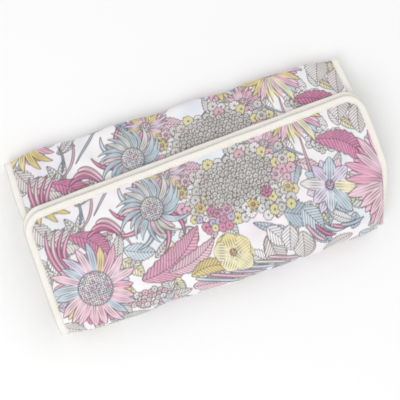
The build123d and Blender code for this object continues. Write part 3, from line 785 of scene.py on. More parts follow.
def sheet(name, span, face, back, step_x, step_run, bulge, printed=False):
    """A cloth sheet over a span of runs: a face at one depth, skirted to another."""
    runs = sheet_rows(*span, step_run)
    cols = int(round(WIDTH / step_x)) | 1
    rows = len(runs)
    x = outline_limit(runs, SHEET_INSET)[:, None] * np.linspace(-1, 1, cols)[None, :]
    run = np.repeat(runs[:, None], cols, 1)
    depth = (face - bulge(x, run)).ravel()
    x, run = x.ravel(), run.ravel()
    ring = rim(rows, cols)
    top = place(x, run, depth)
    low = place(x[ring], run[ring], np.full(len(ring), back))
    outward = back > face
    faces = np.concatenate([
        grid_faces(rows, cols, outward),
        skirt_faces(ring, rows * cols + np.arange(len(ring)), not outward),
    ])
    at = np.concatenate([np.stack([x, run], -1), np.stack([x[ring], run[ring]], -1)])
    uv = at * MM
    obj = mesh_object(name, np.concatenate([top, low]), faces, uv)
    crease_rim(obj.data, rows, cols)
    if printed:
        # average four samples round each vertex
        samples = [(-0.25, -0.25), (0.25, -0.25), (-0.25, 0.25), (0.25, 0.25)]
        pitch = WIDTH / cols
        colour = sum(
            print_at(at[:, 0] + u * pitch, at[:, 1] + v * step_run) for u, v in samples) / 4
        rgba = np.concatenate([colour, np.ones((len(colour), 1))], 1).astype(np.float32)
        layer = obj.data.color_attributes.new(name="print", type="FLOAT_COLOR", domain="POINT")
        layer.data.foreach_set("color", rgba.ravel())
    return obj


# ------------------------------------------------------- bindings and stitches
# An edge path's rows are x, run and the direction inwards from the edge.
BINDING_WIDTH = 5.6
CORNER_STEPS = 14


def side_path(start, end, step, side):
    count = max(2, int(abs(end - start) / step))
    return np.array([
        (side * HALF_WIDTH, start + (end - start) * k / count, -side, 0.0)
        for k in range(count + 1)
    ])


def end_path(start, end, radius, step, half=HALF_WIDTH):
    """Up the +x side from start, round the free end and back down the -x side."""
    sign = 1.0 if start > end else -1.0
    turn_run = end + sign * radius
    count = max(2, int((abs(start - end) - radius) / step))
    straight = 2 * half - 2 * radius
    across = int(straight / step)

    def corner(side, share):
        angle = math.pi / 2 * share
        cos, sin = math.cos(angle), math.sin(angle)
        x = side * (half - radius + radius * cos)
        return (x, end + sign * (radius - radius * sin), -side * cos, sign * sin)

    points = [(half, start + (turn_run - start) * k / count, -1.0, 0.0) for k in range(count)]
    points += [corner(1, k / CORNER_STEPS) for k in range(CORNER_STEPS)]
    points += [(half - radius - straight * k / across, end, 0.0, sign) for k in range(across)]
    points += [corner(-1, 1 - k / CORNER_STEPS) for k in range(CORNER_STEPS)]
    points += [
        (-half, turn_run + (start - turn_run) * k / count, 1.0, 0.0) for k in range(count + 1)]
    return np.array(points)


def binding_section(thick, depth, puff, count=9):
    """A folded tape's closed section as (distance from the edge, depth) pairs."""
    def lift(u):
        rise = puff * math.sin(math.pi * min(1, u * 0.98 + 0.02)) ** 0.7
        return rise + 0.12 * (1 - u) - (0.25 if u > 0.93 else 0)

    shares = [k / count for k in range(count + 1)]
    outer = [(BINDING_WIDTH * (1 - u), depth - lift(1 - u)) for u in shares]
    turns = [math.pi * k / 7 for k in range(1, 7)]
    nose = [(-0.55 * math.sin(a), depth + thick / 2 - thick / 2 * math.cos(a)) for a in turns]
    inner = [(BINDING_WIDTH * u, depth + thick + lift(u)) for u in shares]
    return np.array(outer + nose + inner)


def tape(name, path, section, caps=False, wobble=0.3):
    """Sweeps a folded tape along an edge path."""
    count, sides = len(path), len(section)
    x, run, in_x, in_run = np.repeat(path[:, None, :], sides, 1).transpose(2, 0, 1)
    along = np.repeat(arc_length(path)[:, None], sides, 1)
    inset = np.repeat(section[None, :, 0], count, 0)
    middle = section[:, 1].mean()
    pucker = 1 + 0.10 * np.sin(along / 3.1) + 0.08 * np.sin(along / 1.7 + 1)
    depth = middle + (section[None, :, 1] - middle) * pucker
    inset = (
        inset
        + wobble * np.sin(along / 6.5 + x / 40) * ss(5.6, 3, inset) * 0.6
        + 0.15 * np.sin(along / 2.3) * (inset > 4.4)
    )
    verts = place((x + in_x * inset).ravel(), (run + in_run * inset).ravel(), depth.ravel())
    faces = list(tube_faces(count, sides))
    if caps:
        faces.append(range(sides - 1, -1, -1))
        faces.append(range((count - 1) * sides, count * sides))
    around = np.repeat(arc_length(section)[None, :], count, 0)
    uv = np.stack([along.ravel(), around.ravel()], -1) * MM
    return outwards(mesh_object(name, verts, faces, uv))


def stitches(name, path, inset, depth, outward):
    """A row of thread stitches, each a small capsule, along an edge path.

    outward is 1 where the stitches stand out of the strip's outer face, -1 inside.
    """
    pitch, length, radius, sides = 2.6, 1.7, 0.22, 6
    stations = np.array([0, 0.18, 0.5, 0.82, 1])
    lifts = np.array([0.15, -0.1, -0.22, -0.1, 0.15])
    radii = [0.35, 0.9, 1.0, 0.9, 0.35]
    along = arc_length(path)
    ring_faces = tube_faces(len(stations), sides)
    last = (len(stations) - 1) * sides
    verts, faces = [], []
    for k in range(int(along[-1] / pitch)):
        at = np.clip((k + 0.5) * pitch + length * (stations - 0.5), 0, along[-1])
        x, run, in_x, in_run = (np.interp(at, along, column) for column in path.T)
        spine = place(x + in_x * inset, run + in_run * inset, depth + lifts * outward)
        heading = spine[-1] - spine[0]
        heading /= max(np.linalg.norm(heading), 1e-9)
        side = np.cross(heading, np.array([0.3, 0.5, 0.8]))
        side /= np.linalg.norm(side)
        other = np.cross(heading, side)
        first = len(verts)
        for point, share in zip(spine, radii):
            for j in range(sides):
                angle = j * math.pi / 3
                spoke = side * math.cos(angle) + other * math.sin(angle)
                verts.append(point + spoke * radius * share * MM)
        faces.extend(ring_faces + first)
        faces.append(range(first + sides - 1, first - 1, -1))
        faces.append(range(first + last, first + last + sides))
    return outwards(mesh_object(name, verts, faces))


# ----------------------------------------------------------- the folded panels
def bend(obj, cut, inner=False):
    """Bakes a piece's placement into its mesh."""
    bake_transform(obj)


SHOWN_STEP = 0.56  # cover grid of the flap and top panel
HIDDEN_STEP = 1.1  # cover grid of the near and far pieces
LINING_STEPS = ((2.4, 2.2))
TAPE_STEP = 1.6
covers, linings, bindings, threads = {}, {}, [], []


def edge_paths(tag, start, end):
    """Name endings and paths of a cut's bound edges."""
    if tag == "flap":
        return [("", end_path(end, 0.0, FLAP_RADIUS, TAPE_STEP))]
    if tag == "top":
        return [("", end_path(start, END, TOP_RADIUS, TAPE_STEP))]
    return [(ending, side_path(start, end, TAPE_STEP, side)) for ending, side in (("r", 1), ("l", -1))]


def build_cut(cut):
    tag, start, end = cut[:3]
    step = SHOWN_STEP if tag in ("flap", "top") else HIDDEN_STEP
    cover = sheet(f"{tag}_cover_cloth", (start, end), 0.75, 2.2, step, step, puff_outer, True)
    bend(cover, cut)
    covers[tag] = cover
    lining = sheet(f"{tag}_lining_cloth", (start, end), 3.3, 2.4, *LINING_STEPS, puff_inner)
    bend(lining, cut, inner=True)
    linings[tag] = lining
    section = binding_section(thick=3.3, depth=0.35, puff=0.45)
    for ending, path in edge_paths(tag, start, end):
        binding = tape(f"{tag}_edge_binding{ending}", path, section)
        bend(binding, cut, inner=True)
        bindings.append(binding)
        row = stitches(f"{tag}_edge_stitches{ending}", path, 4.6, 0.02, outward=1)
        bend(row, cut, inner=True)
        threads.append(row)


for cut in CUTS:
    build_cut(cut)

# The bound base sheet under the flap shows past the flap's edge.
BASE_START, BASE_END = FLAP - 14.0, FLAP - (FLAP + 4.5)  # runs
BASE_HALF = HALF_WIDTH + 1.0
base_path = end_path(BASE_START, BASE_END, FLAP_RADIUS, TAPE_STEP, half=BASE_HALF)
base_section = binding_section(thick=2.1, depth=4.85, puff=0.25)
base_binding = tape("flap_pouch_edge_binding", base_path, base_section, caps=True, wobble=0.25)
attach(base_binding, "flap")
base_stitches = stitches("flap_pouch_edge_stitches", base_path, 4.7, 4.3, outward=-1)
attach(base_stitches, "flap")
threads.append(base_stitches)

base = panel(
    "flap_pouch_base_cloth", (-BASE_HALF + 4, BASE_HALF - 4), (BASE_END + 4, BASE_START - 0.5),
    lambda x, run: 5.0 + 0 * x, thick=1.1)
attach(base, "flap")


# ----------------------------------------------------------------- the pouches
POUCH_HALF = 138.0
# flap pouch: reach is the distance from the near fold, measured along the flap
FLAP_POUCH_NEAR, FLAP_POUCH_FAR, FLAP_POUCH_DEPTH = 14.0, 72.0, 14.2
FLAP_ZIP = 20.0
FLAP_ZIP_DEPTH = 13.87
# main pouch, on the back: deep at the near fold, shallow towards the far fold
MAIN_NEAR, MAIN_FAR, MAIN_DEEP, MAIN_SHALLOW = -63.0, 66.0, 14.3, 6.8
MAIN_ZIP = 56.0
MAIN_ZIP_Z = 6.27
MAIN_MIDDLE, MAIN_HALF = (MAIN_NEAR + MAIN_FAR) / 2, (MAIN_FAR - MAIN_NEAR) / 2
ZIP_HALF_SLOT = 3.6  # from a zip's middle to the cloth or film on either side


def rounded_rect(middle_y, half_x, half_y, radius, corner_steps):
    """A closed path in plan: rows of x, y and the outward direction."""
    corners = ((1, -1), (1, 1), (-1, 1), (-1, -1))

    def at(corner, angle):
        cos, sin = math.cos(math.radians(angle)), math.sin(math.radians(angle))
        return (corner[0] * (half_x - radius) + radius * cos,
                middle_y + corner[1] * (half_y - radius) + radius * sin, cos, sin)

    points = []
    for k, corner in enumerate(corners):
        angle = 90 * k - 90
        points += [at(corner, angle + 90 * j / corner_steps) for j in range(corner_steps + 1)]
        start, end = points[-1], at(corners[(k + 1) % 4], angle + 90)
        count = max(2, int(math.hypot(end[0] - start[0], end[1] - start[1]) / 4.0))
        for j in range(1, count):
            points.append((
                start[0] + (end[0] - start[0]) * j / count,
                start[1] + (end[1] - start[1]) * j / count, *end[2:]))
    return np.array(points)


def pouch_wall(name, middle_y, half_x, half_y, radius, to_world):
    """A pouch's gusset: a rounded rectangle of softly bulging cloth walls."""
    thick, levels = 0.7, 9
    ring = rounded_rect(middle_y, half_x, half_y, radius, corner_steps=6)
    along = arc_length(ring)
    count = len(ring)
    verts, uvs = [], []
    for inset in (0, thick):
        for k in range(levels):
            share = k / (levels - 1)
            rucks = 0.35 * np.sin(along / 4.7 + share * 3) + 0.25 * np.sin(along / 2.9 + 1)
            out = (0.9 + rucks) * math.sin(math.pi * share) - inset
            verts.append(to_world(ring[:, 0] + ring[:, 2] * out, ring[:, 1] + ring[:, 3] * out, share))
            uvs.append(np.stack([along, np.full(count, share * 8.0)], -1) * MM)
    size = levels * count
    wall = tube_faces(levels, count)
    faces = [wall, (wall + size)[:, ::-1]]
    for level in (0, levels - 1):
        lip = level * count + np.arange(count)
        faces.append(skirt_faces(lip, lip + size, flip=level > 0))
    return outwards(mesh_object(name, np.concatenate(verts), np.concatenate(faces), np.concatenate(uvs)))


def crinkle(x, run):
    return (
        0.25 * np.sin(x / 17 + run / 9)
        + 0.18 * np.sin(x / 7.3 - run / 5.1) * np.sin(run / 11)
        + 0.12 * np.sin(x / 3.9 + run / 6.3)
    )


def rigid_flap(x, reach, depth):
    """A point of the flap's own flat frame, with no softness: where its zip runs."""
    x, reach, depth = np.broadcast_arrays(np.asarray(x, float), reach, depth)
    return np.stack([x, reach - HALF_BACK, NEAR_SPINE - depth], -1) * MM


def rigid_flap_run(x, run, depth):
    return rigid_flap(x, FLAP - run, depth)


def flap_wall_frame(x, reach, share):
    """Soft at the base, flat from 0.7 of the way to the face."""
    flat = ss(0.0, 0.7, share + 0 * x)[..., None]
    depth = 6.9 + share * (FLAP_POUCH_DEPTH - 6.9 - 0.5)
    return place(x, FLAP - reach, depth) * (1 - flat) + rigid_flap(x, reach, depth) * flat


def flap_film_depth(x, run):
    reach = FLAP - run
    edge = np.minimum(
        POUCH_HALF - 1 - abs(x), np.minimum(reach - FLAP_ZIP - 9.5, FLAP_POUCH_FAR - reach))
    loose = np.clip(edge / 6.0, 0, 1)
    return FLAP_POUCH_DEPTH - 0.32 + loose * (0.3 + crinkle(x, run))


flap_gusset = pouch_wall(
    "flap_pouch_gusset_cloth", (FLAP_POUCH_NEAR + FLAP_POUCH_FAR) / 2, POUCH_HALF - 1,
    (FLAP_POUCH_FAR - FLAP_POUCH_NEAR) / 2, 8, flap_wall_frame)
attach(flap_gusset, "flap")
flap_span = (-POUCH_HALF + 1.5, POUCH_HALF - 1.5)
flap_film = panel(
    "flap_pouch_clear_film", flap_span,
    (FLAP - FLAP_POUCH_FAR + 0.5, FLAP - FLAP_ZIP - ZIP_HALF_SLOT),
    flap_film_depth, thick=0.3, spacing=(2.5, 1.6), to_world=rigid_flap_run)
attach(flap_film, "flap")
flap_header = panel(
    "flap_pouch_header_cloth", flap_span,
    (FLAP - FLAP_ZIP + ZIP_HALF_SLOT, FLAP - FLAP_POUCH_NEAR - 0.5),
    lambda x, run: FLAP_POUCH_DEPTH - 0.6 + 0.1 * crinkle(x, run),
    thick=0.55, spacing=(2.5, 1.2), to_world=rigid_flap_run)
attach(flap_header, "flap")


def plain(x, y, z):
    """Millimetre coordinates as they are."""
    x, y, z = np.broadcast_arrays(x, y, z)
    return np.stack([x, y, z], -1) * MM


def main_height(y):
    t = np.clip(y / 32.0, 0, 1)
    drop = ss(-56, -63, y) * 1.4
    return MAIN_DEEP + (MAIN_SHALLOW - MAIN_DEEP) * (t * t * (3 - 2 * t) * 0.35 + t * 0.65) - drop


def main_wall_frame(x, y, share):
    return plain(x, y, 4.3 + share * (main_height(y) - 0.55 - 4.3))


def main_film_height(x, y):
    edge = np.minimum(POUCH_HALF - 1.5 - abs(x), np.minimum(MAIN_ZIP - 7 - y, y - MAIN_NEAR))
    return main_height(y) - 0.25 + np.clip(edge / 7.0, 0, 1) * crinkle(x, y) * 0.6


def foot_binding(name):
    """The tape that binds the main pouch's foot to the lining."""
    width, low, high = 4.6, 3.85, 4.7
    path = rounded_rect(MAIN_MIDDLE, POUCH_HALF + 0.2, MAIN_HALF + 0.2, 8.0, corner_steps=8)
    half, middle = width / 2, (low + high) / 2
    # section: offset across the tape, z
    section = np.array([
        (-half, low), (-half, middle), (-half + 0.5, high - 0.08), (0, high),
        (half - 0.5, high - 0.08), (half, middle), (half, low),
    ])
    along = arc_length(path)
    x, y, out_x, out_y = (column[:, None] for column in path.T)
    out = section[:, 0] * (1 + 0.05 * np.sin(along / 3.3))[:, None]
    z = section[:, 1] + 0.06 * np.sin(along / 2.1)[:, None]
    verts = plain(x + out_x * out, y + out_y * out, z).reshape(-1, 3)
    uv = np.stack([
        np.repeat(along, len(section)), np.tile(section[:, 0] + 4, len(path))], -1) * MM
    return outwards(mesh_object(name, verts, tube_faces(len(path), len(section), closed=True), uv))


main_gusset = pouch_wall(
    "main_pouch_gusset_cloth", MAIN_MIDDLE, POUCH_HALF - 1.2, MAIN_HALF - 1, 7, main_wall_frame)
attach(main_gusset, "back")
main_span = (-POUCH_HALF + 2, POUCH_HALF - 2)
main_film = panel(
    "main_pouch_clear_film", main_span, (MAIN_NEAR + 1.5, MAIN_ZIP - ZIP_HALF_SLOT),
    main_film_height, thick=-0.3, spacing=(2.5, 1.8), to_world=plain, flip=True)
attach(main_film, "back")
main_header = panel(
    "main_pouch_header_cloth", main_span, (MAIN_ZIP + ZIP_HALF_SLOT, MAIN_FAR - 1.5),
    lambda x, y: MAIN_SHALLOW - 0.1 + 0.15 * crinkle(x, y),
    thick=-0.55, spacing=(2.5, 1.0), to_world=plain, flip=True)
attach(main_header, "back")
main_binding = foot_binding("main_pouch_foot_binding")
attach(main_binding, "back")


# ------------------------------------------------------------------- the zips
ZIP_GAP = 1.2
TAPE_DROP = 0.36  # the tapes lie this far behind the coils


def zip_tape(name, width, to_world):
    """The two woven halves of a zip, either side of its gap."""
    half, thick = 131.5, 0.55
    across = np.array([
        ZIP_GAP / 2, ZIP_GAP / 2 + 0.4, ZIP_GAP / 2 + 1.4,
        width / 4 + 1, width / 2 - 0.8, width / 2])
    half_thick = np.array([0.9, 1.0, 0.75, 0.7, 0.75, 0.5]) * thick / 2
    x, offset = np.meshgrid(np.linspace(-half, half, 130), across, indexing="ij")
    ripple = 0.06 * np.sin(x / 2.5) - TAPE_DROP
    verts, faces, uvs = [], [], []
    for side in (1, -1):
        first = sum(len(part) for part in verts)
        for level in (ripple + half_thick, ripple - half_thick):
            verts.append(to_world(x.ravel(), side * offset.ravel(), level.ravel()))
            uvs.append(np.stack([x.ravel(), side * offset.ravel()], -1) * MM)
        faces.append(slab_faces(*x.shape, flip=side < 0) + first)
    return outwards(mesh_object(name, np.concatenate(verts), np.concatenate(faces), np.concatenate(uvs)))


def zip_coil(name, to_world):
    """Two interleaved spirals of wire, one on each tape."""
    half, width, height, wire = 127.5, 2.2, 1.2, 0.27
    pitch = 1.35
    steps_per_turn, sides = 10, 5
    turn = np.arange(int(2 * half / pitch) * steps_per_turn + 1) / steps_per_turn
    angle = turn * 2 * math.pi
    verts, faces = [], []
    for side in (1, -1):
        centre = np.stack([
            -half + turn * pitch + (0.0 if side > 0 else pitch / 2),
            side * (ZIP_GAP / 2 + width / 2 + (width / 2 - 0.28) * np.cos(angle)),
            height / 2 + (height / 2 - 0.28) * np.sin(angle),
        ], -1)
        heading = np.gradient(centre, axis=0)
        heading /= np.linalg.norm(heading, axis=1)[:, None]
        spoke = np.cross(heading, np.array([1.0, 0.05, 0.02]))
        spoke /= np.linalg.norm(spoke, axis=1)[:, None]
        other = np.cross(heading, spoke)
        spots = np.stack([
            centre + (spoke * math.cos(2 * math.pi * k / sides)
                      + other * math.sin(2 * math.pi * k / sides)) * wire
            for k in range(sides)
        ], 1).reshape(-1, 3)
        first = sum(len(part) for part in verts)
        verts.append(to_world(*spots.T))
        faces.append(tube_faces(len(centre), sides) + first)
    return outwards(mesh_object(name, np.concatenate(verts), np.concatenate(faces)))


def flap_zip_frame(x, offset, height):
    return rigid_flap(x, FLAP_ZIP + offset, FLAP_ZIP_DEPTH + height)


def main_zip_frame(x, offset, height):
    return plain(x, MAIN_ZIP + offset, MAIN_ZIP_Z + height)


zip_tapes, zip_coils = [], []
for tag, body, to_world, width in (
    ("flap", "flap", flap_zip_frame, 18.0), ("main", "back", main_zip_frame, 13.6),
):
    zip_tapes.append(zip_tape(f"{tag}_zip_woven_tape", width, to_world))
    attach(zip_tapes[-1], body)
    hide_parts(f"{tag}_zip_tape")
    zip_coils.append(zip_coil(f"{tag}_zip_spiral_coil", to_world))
    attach(zip_coils[-1], body)
    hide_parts(f"{tag}_zip_coil")


# ------------------------------------------------- closure tapes and webbing tab
def nap_strip(name, body, start, end, depth, thick, sign, seed, shape):
    """A closure strip and its dense nap of small posts.

    sign is the way the nap stands in depth; shape lists each post's rings as (radius, height).
    """
    half = 55
    strip = panel(
        name, (-half, half), (start, end), lambda x, run: depth + 0.15 * (abs(x) > half - 1),
        thick, spacing=(1.6, 0.9))
    rng = np.random.RandomState(seed)
    root = depth if sign < 0 else depth + thick
    pitch = 1.5
    sides = 5
    post_faces = tube_faces(len(shape), sides)
    verts, faces = [], []
    for x in np.arange(-half + 1, half - 0.9, pitch):
        for run in np.arange(start + 0.7, end - 0.5, pitch):
            jitter_x, jitter_run = rng.uniform(-0.4, 0.4, 2)
            tilt_x, tilt_run = rng.uniform(-0.3, 0.3, 2)
            faces.extend(post_faces + len(verts))
            for radius, height in shape:
                for k in range(sides):
                    angle = k * 2 * math.pi / sides
                    verts.append((
                        x + jitter_x + radius * math.cos(angle) + tilt_x * height,
                        run + jitter_run + radius * math.sin(angle) + tilt_run * height,
                        root + sign * height))
    nap = outwards(mesh_object(name + "_nap", place(*np.array(verts).T), faces))
    for obj in (strip, nap):
        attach(obj, body)
    return strip, nap


def post_shape(radius, height, head):
    """Rings of a post that ends in a head of the given radius."""
    return ((radius, 0.0), (radius * 0.8, height * 0.7), (head, height), (0.02, height * 1.12))


hook_strip, hook_nap = nap_strip(
    "closure_hook_strip", "flap", 2.6, 9.9, 7.0, 0.55,
    sign=1, seed=3, shape=post_shape(radius=0.16, height=0.55, head=0.16 * 1.7))
loop_strip, loop_nap = nap_strip(
    "closure_loop_strip", "top_panel", FAR_TOP + 47.4, FAR_TOP + 54.6, -0.75, 0.9,
    sign=-1, seed=4, shape=post_shape(radius=0.3, height=0.4, head=0.3 * 0.9))


def rigid_top(x, reach, depth):
    """A point of the top panel's own flat frame; reach is measured from the far fold."""
    cos, sin = math.cos(SLOPE), math.sin(SLOPE)
    return plain(
        x, HALF_BACK - reach * cos - depth * sin, FAR_SPINE + reach * sin - depth * cos)


def webbing(name):
    """The ribbed tab that carries the hook's rivet, flat where the rivet sits."""
    half, start, end = 12, 16, 50
    x, reach = np.meshgrid(
        np.linspace(-half, half, 33), np.linspace(start, end, 46), indexing="ij")
    edge = np.minimum(half - abs(x), np.minimum(reach - start, end - reach))
    drop = 0.35 * np.exp(-edge / 0.7)
    rib = 0.06 * np.cos(x * 2 * math.pi / 1.5)
    flat_x, flat_reach = x.ravel(), reach.ravel()
    top = place(flat_x, FAR_TOP + flat_reach, (3.9 + drop).ravel())
    soft = place(flat_x, FAR_TOP + flat_reach, (5.0 - drop + rib).ravel())
    rigid = rigid_top(flat_x, flat_reach, (4.98 - drop + rib).ravel())
    share = ss(20, 30, flat_reach)[:, None]
    return slab(name, x, reach, top, soft * (1 - share) + rigid * share)


tab = webbing("hanger_webbing_tab")
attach(tab, "top_panel")

# -------------------------------------- which CAD solids the soft pieces stand for
for tag, cad in (("flap", "flap"), ("near", "near_spine"), ("top", "top")):
    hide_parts(f"{cad}_cover", f"{cad}_padding")
    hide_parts(f"{cad}_lining")
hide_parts("back_cover", "back_padding")
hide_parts("back_lining")
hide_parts("far_spine_cover")
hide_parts("far_spine_lining")
BOUND = {
    "flap": ["flap_binding"],
    "near": ["near_spine_binding", "back_binding"],
    "far": ["far_spine_binding"],
    "top": ["top_binding"],
}
for binding in bindings:
    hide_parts(*BOUND[binding.name.split("_")[0]])
for obj, solid in (
    (base, "flap_pouch_base"), (base_binding, "flap_pouch_binding"),
    (flap_gusset, "flap_pouch_gusset"), (flap_film, "flap_pouch_window"),
    (flap_header, "flap_pouch_header"), (main_gusset, "main_pouch_gusset"),
    (main_film, "main_pouch_window"), (main_header, "main_pouch_header"),
    (main_binding, "main_pouch_binding"), (hook_strip, "closure_hook_tape"),
    (loop_strip, "closure_loop_tape"), (tab, "hanger_tab"),
):
    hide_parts(solid)


# ------------------------------------------------------------------ materials
class Shader:
    """A material with one principled surface, and short ways to add its nodes."""

    def __init__(self, name):
        self.material = bpy.data.materials.new(name)
        self.material.use_nodes = True
        self.tree = self.material.node_tree
        self.tree.nodes.clear()
        output = self.add("OutputMaterial")
        self.surface = self.add("BsdfPrincipled")
        self.feed(output.inputs[0], self.surface.outputs[0])

    def add(self, kind, **settings):
        node = self.tree.nodes.new("ShaderNode" + kind)
        assign(node, **settings)
        return node

    def feed(self, socket, value):
        """Sets a socket to a number or a colour, or links it to an output."""
        if isinstance(value, (int, float)):
            socket.default_value = value
        elif isinstance(value, tuple):
            socket.default_value = (*value, 1.0)
        else:
            self.tree.links.new(value, socket)

    def math(self, operation, first, second):
        node = self.add("Math", operation=operation)
        self.feed(node.inputs[0], first)
        self.feed(node.inputs[1], second)
        return node.outputs[0]

    def mix(self, factor, first, second):
        node = self.add("Mix", data_type="RGBA", blend_type="MIX")
        for index, value in ((0, factor), (6, first), (7, second)):
            self.feed(node.inputs[index], value)
        return node.outputs[2]

    def coords(self, kind="UV"):
        return self.add("TexCoord").outputs[kind]

    def mapped(self, vector, scale=(1.0, 1.0, 1.0), turn=0.0):
        node = self.add("Mapping")
        node.inputs["Scale"].default_value = scale
        node.inputs["Rotation"].default_value = (0, 0, turn)
        self.feed(node.inputs["Vector"], vector)
        return node.outputs[0]

    def noise(self, vector, scale, detail, stretch=(1.0, 1.0, 1.0)):
        vector = self.mapped(vector, stretch)
        node = self.add("TexNoise")
        for key, value in (
            ("Scale", scale), ("Detail", detail), ("Roughness", 0.55), ("Vector", vector),
        ):
            self.feed(node.inputs[key], value)
        return node.outputs[0]

    def threads(self, vector, per_metre, direction, distortion=0.0):
        """A sine wave with so many threads to the metre."""
        node = self.add("TexWave", bands_direction=direction, wave_profile="SIN")
        node.inputs["Scale"].default_value = per_metre * math.pi / 10
        node.inputs["Distortion"].default_value = distortion
        self.feed(node.inputs["Vector"], vector)
        return node.outputs["Fac"]

    def ramp(self, value, span=(0.3, 0.7), to=(0.0, 1.0)):
        node = self.add("MapRange")
        for socket, number in zip(node.inputs, (value, *span, *to)):
            self.feed(socket, number)
        return node.outputs[0]

    def bump(self, height, strength, distance, normal=None):
        node = self.add("Bump")
        node.inputs["Strength"].default_value = strength
        node.inputs["Distance"].default_value = distance
        self.feed(node.inputs["Height"], height)
        if normal is not None:
            self.feed(node.inputs["Normal"], normal)
        return node.outputs[0]

    def weave(self, vector, per_metre, strength, distance):
        """Plain weave: the higher of two crossed thread waves, as a bump and a height."""
        warp = self.threads(vector, per_metre, "X")
        weft = self.threads(vector, per_metre, "Y")
        height = self.math("MAXIMUM", warp, weft)
        return self.bump(height, strength, distance), height

    def finish(self, **inputs):
        """Feeds the surface's inputs, named with underscores, and returns the material."""
        for key, value in inputs.items():
            self.feed(self.surface.inputs[key.replace("_", " ")], value)
        return self.material


def scaled(colour, factor):
    return tuple(value * factor for value in colour)


def floral_print():
    g = Shader("floral_print_coated_cotton")
    uv = g.coords()
    printed = g.add("VertexColor", layer_name="print")
    fine = g.noise(uv, scale=2200.0, detail=2.0)
    broad = g.noise(uv, scale=30.0, detail=3.0)
    speckle = g.ramp(fine, span=(0.35, 0.75), to=(0.0, 0.10))
    colour = g.mix(speckle, printed.outputs["Color"], (0.60, 0.58, 0.63))
    haze = g.ramp(broad, span=(0.35, 0.7), to=(0.0, 0.10))
    colour = g.mix(haze, colour, (0.98, 0.97, 1.0))
    weave, _ = g.weave(uv, per_metre=1500.0, strength=0.10, distance=0.00012)
    creases = g.noise(uv, scale=95.0, detail=4.0)
    normal = g.bump(creases, strength=0.16, distance=0.0012, normal=weave)
    return g.finish(
        Base_Color=colour, Roughness=g.ramp(broad, to=(0.46, 0.62)), Normal=normal,
        Coat_Weight=0.16, Coat_Roughness=0.32, Sheen_Weight=0.08, Specular_IOR_Level=0.42)


def fabric(name, colour, light, threads, rough, sheen, bump, twill=False, edge=None):
    """Woven cloth with so many threads to the metre, mottled between two colours and painted darker in
    the weave's low places as painted shade.

    edge gives two v places; the cloth is painted darker between them, as painted shade where the tape
    turns over.
    """
    g = Shader(name)
    uv = g.coords()
    if twill:
        slanted = g.mapped(uv, turn=math.radians(52))
        height = g.threads(slanted, threads, "X", distortion=0.3)
        normal = g.bump(height, strength=bump, distance=0.00025)
    else:
        normal, height = g.weave(uv, threads, strength=bump, distance=0.0002)
    broad = g.noise(uv, scale=45.0, detail=4.0)
    fine = g.noise(uv, scale=900.0, detail=2.0)
    shade = g.mix(g.ramp(broad), colour, light)
    # painted shade: the colour is darker where the weave's height is low, in the valleys between threads
    shade = g.mix(g.ramp(height, span=(0.0, 0.6), to=(0.16, 0.0)), shade, scaled(colour, 0.62))
    shade = g.mix(g.ramp(fine, span=(0.4, 0.8), to=(0.0, 0.12)), shade, scaled(colour, 0.8))
    normal = g.bump(broad, strength=0.15, distance=0.0008, normal=normal)
    if edge:
        # painted shade: the tape is painted a little darker where it turns over its edge, for the shadow
        # line along the bound edge
        split = g.add("SeparateXYZ")
        g.feed(split.inputs[0], uv)
        v = split.outputs[1]
        rise = g.ramp(v, span=(edge[0] - 0.0006, edge[0] + 0.0009))
        fall = g.ramp(v, span=(edge[1] - 0.0009, edge[1] + 0.0006), to=(1.0, 0.0))
        edge_shade = g.math("MULTIPLY", rise, fall)
        edge_shade = g.math("MULTIPLY", edge_shade, g.ramp(broad, to=(0.42, 0.62)))
        shade = g.mix(edge_shade, shade, (0.34, 0.32, 0.30))
    return g.finish(
        Base_Color=shade, Roughness=g.ramp(fine, to=(rough - 0.08, min(1.0, rough + 0.08))),
        Normal=normal, Sheen_Weight=sheen, Specular_IOR_Level=0.3)


def clear_film():
    g = Shader("clear_pouch_film")
    wrinkles = g.noise(g.coords(), scale=42.0, detail=1.5)
    normal = g.bump(wrinkles, strength=0.16, distance=0.0012)
    colour = g.mix(g.ramp(wrinkles), (0.86, 0.89, 0.90), (0.95, 0.96, 0.96))
    return g.finish(
        Base_Color=colour, Roughness=g.ramp(wrinkles, to=(0.06, 0.16)), Normal=normal,
        Specular_IOR_Level=0.6, Alpha=g.ramp(wrinkles, span=(0.2, 0.8), to=(0.14, 0.24)),
        Coat_Weight=0.4, Coat_Roughness=0.05)


def metal(name, colour, rough, scratch):
    g = Shader(name)
    coords = g.coords("Object")
    brushed = g.noise(coords, scale=1.0, detail=4.0, stretch=(60.0, 900.0, 900.0))
    patches = g.noise(coords, scale=90.0, detail=2.0)
    shade = g.mix(g.ramp(patches), colour, scaled(colour, 0.92))
    normal = g.bump(brushed, strength=scratch, distance=0.00002)
    return g.finish(
        Base_Color=shade, Metallic=1.0, Roughness=g.ramp(brushed, to=(rough, rough + 0.08)),
        Normal=normal)


def coil_nylon():
    g = Shader("zip_coil_nylon")
    grain = g.noise(g.coords("Object"), scale=500.0, detail=2.0)
    colour = g.mix(g.ramp(grain), (0.80, 0.76, 0.66), (0.72, 0.68, 0.58))
    return g.finish(
        Base_Color=colour, Roughness=g.ramp(grain, to=(0.32, 0.45)),
        Normal=g.bump(grain, strength=0.15, distance=0.0001),
        Specular_IOR_Level=0.5, Coat_Weight=0.15)


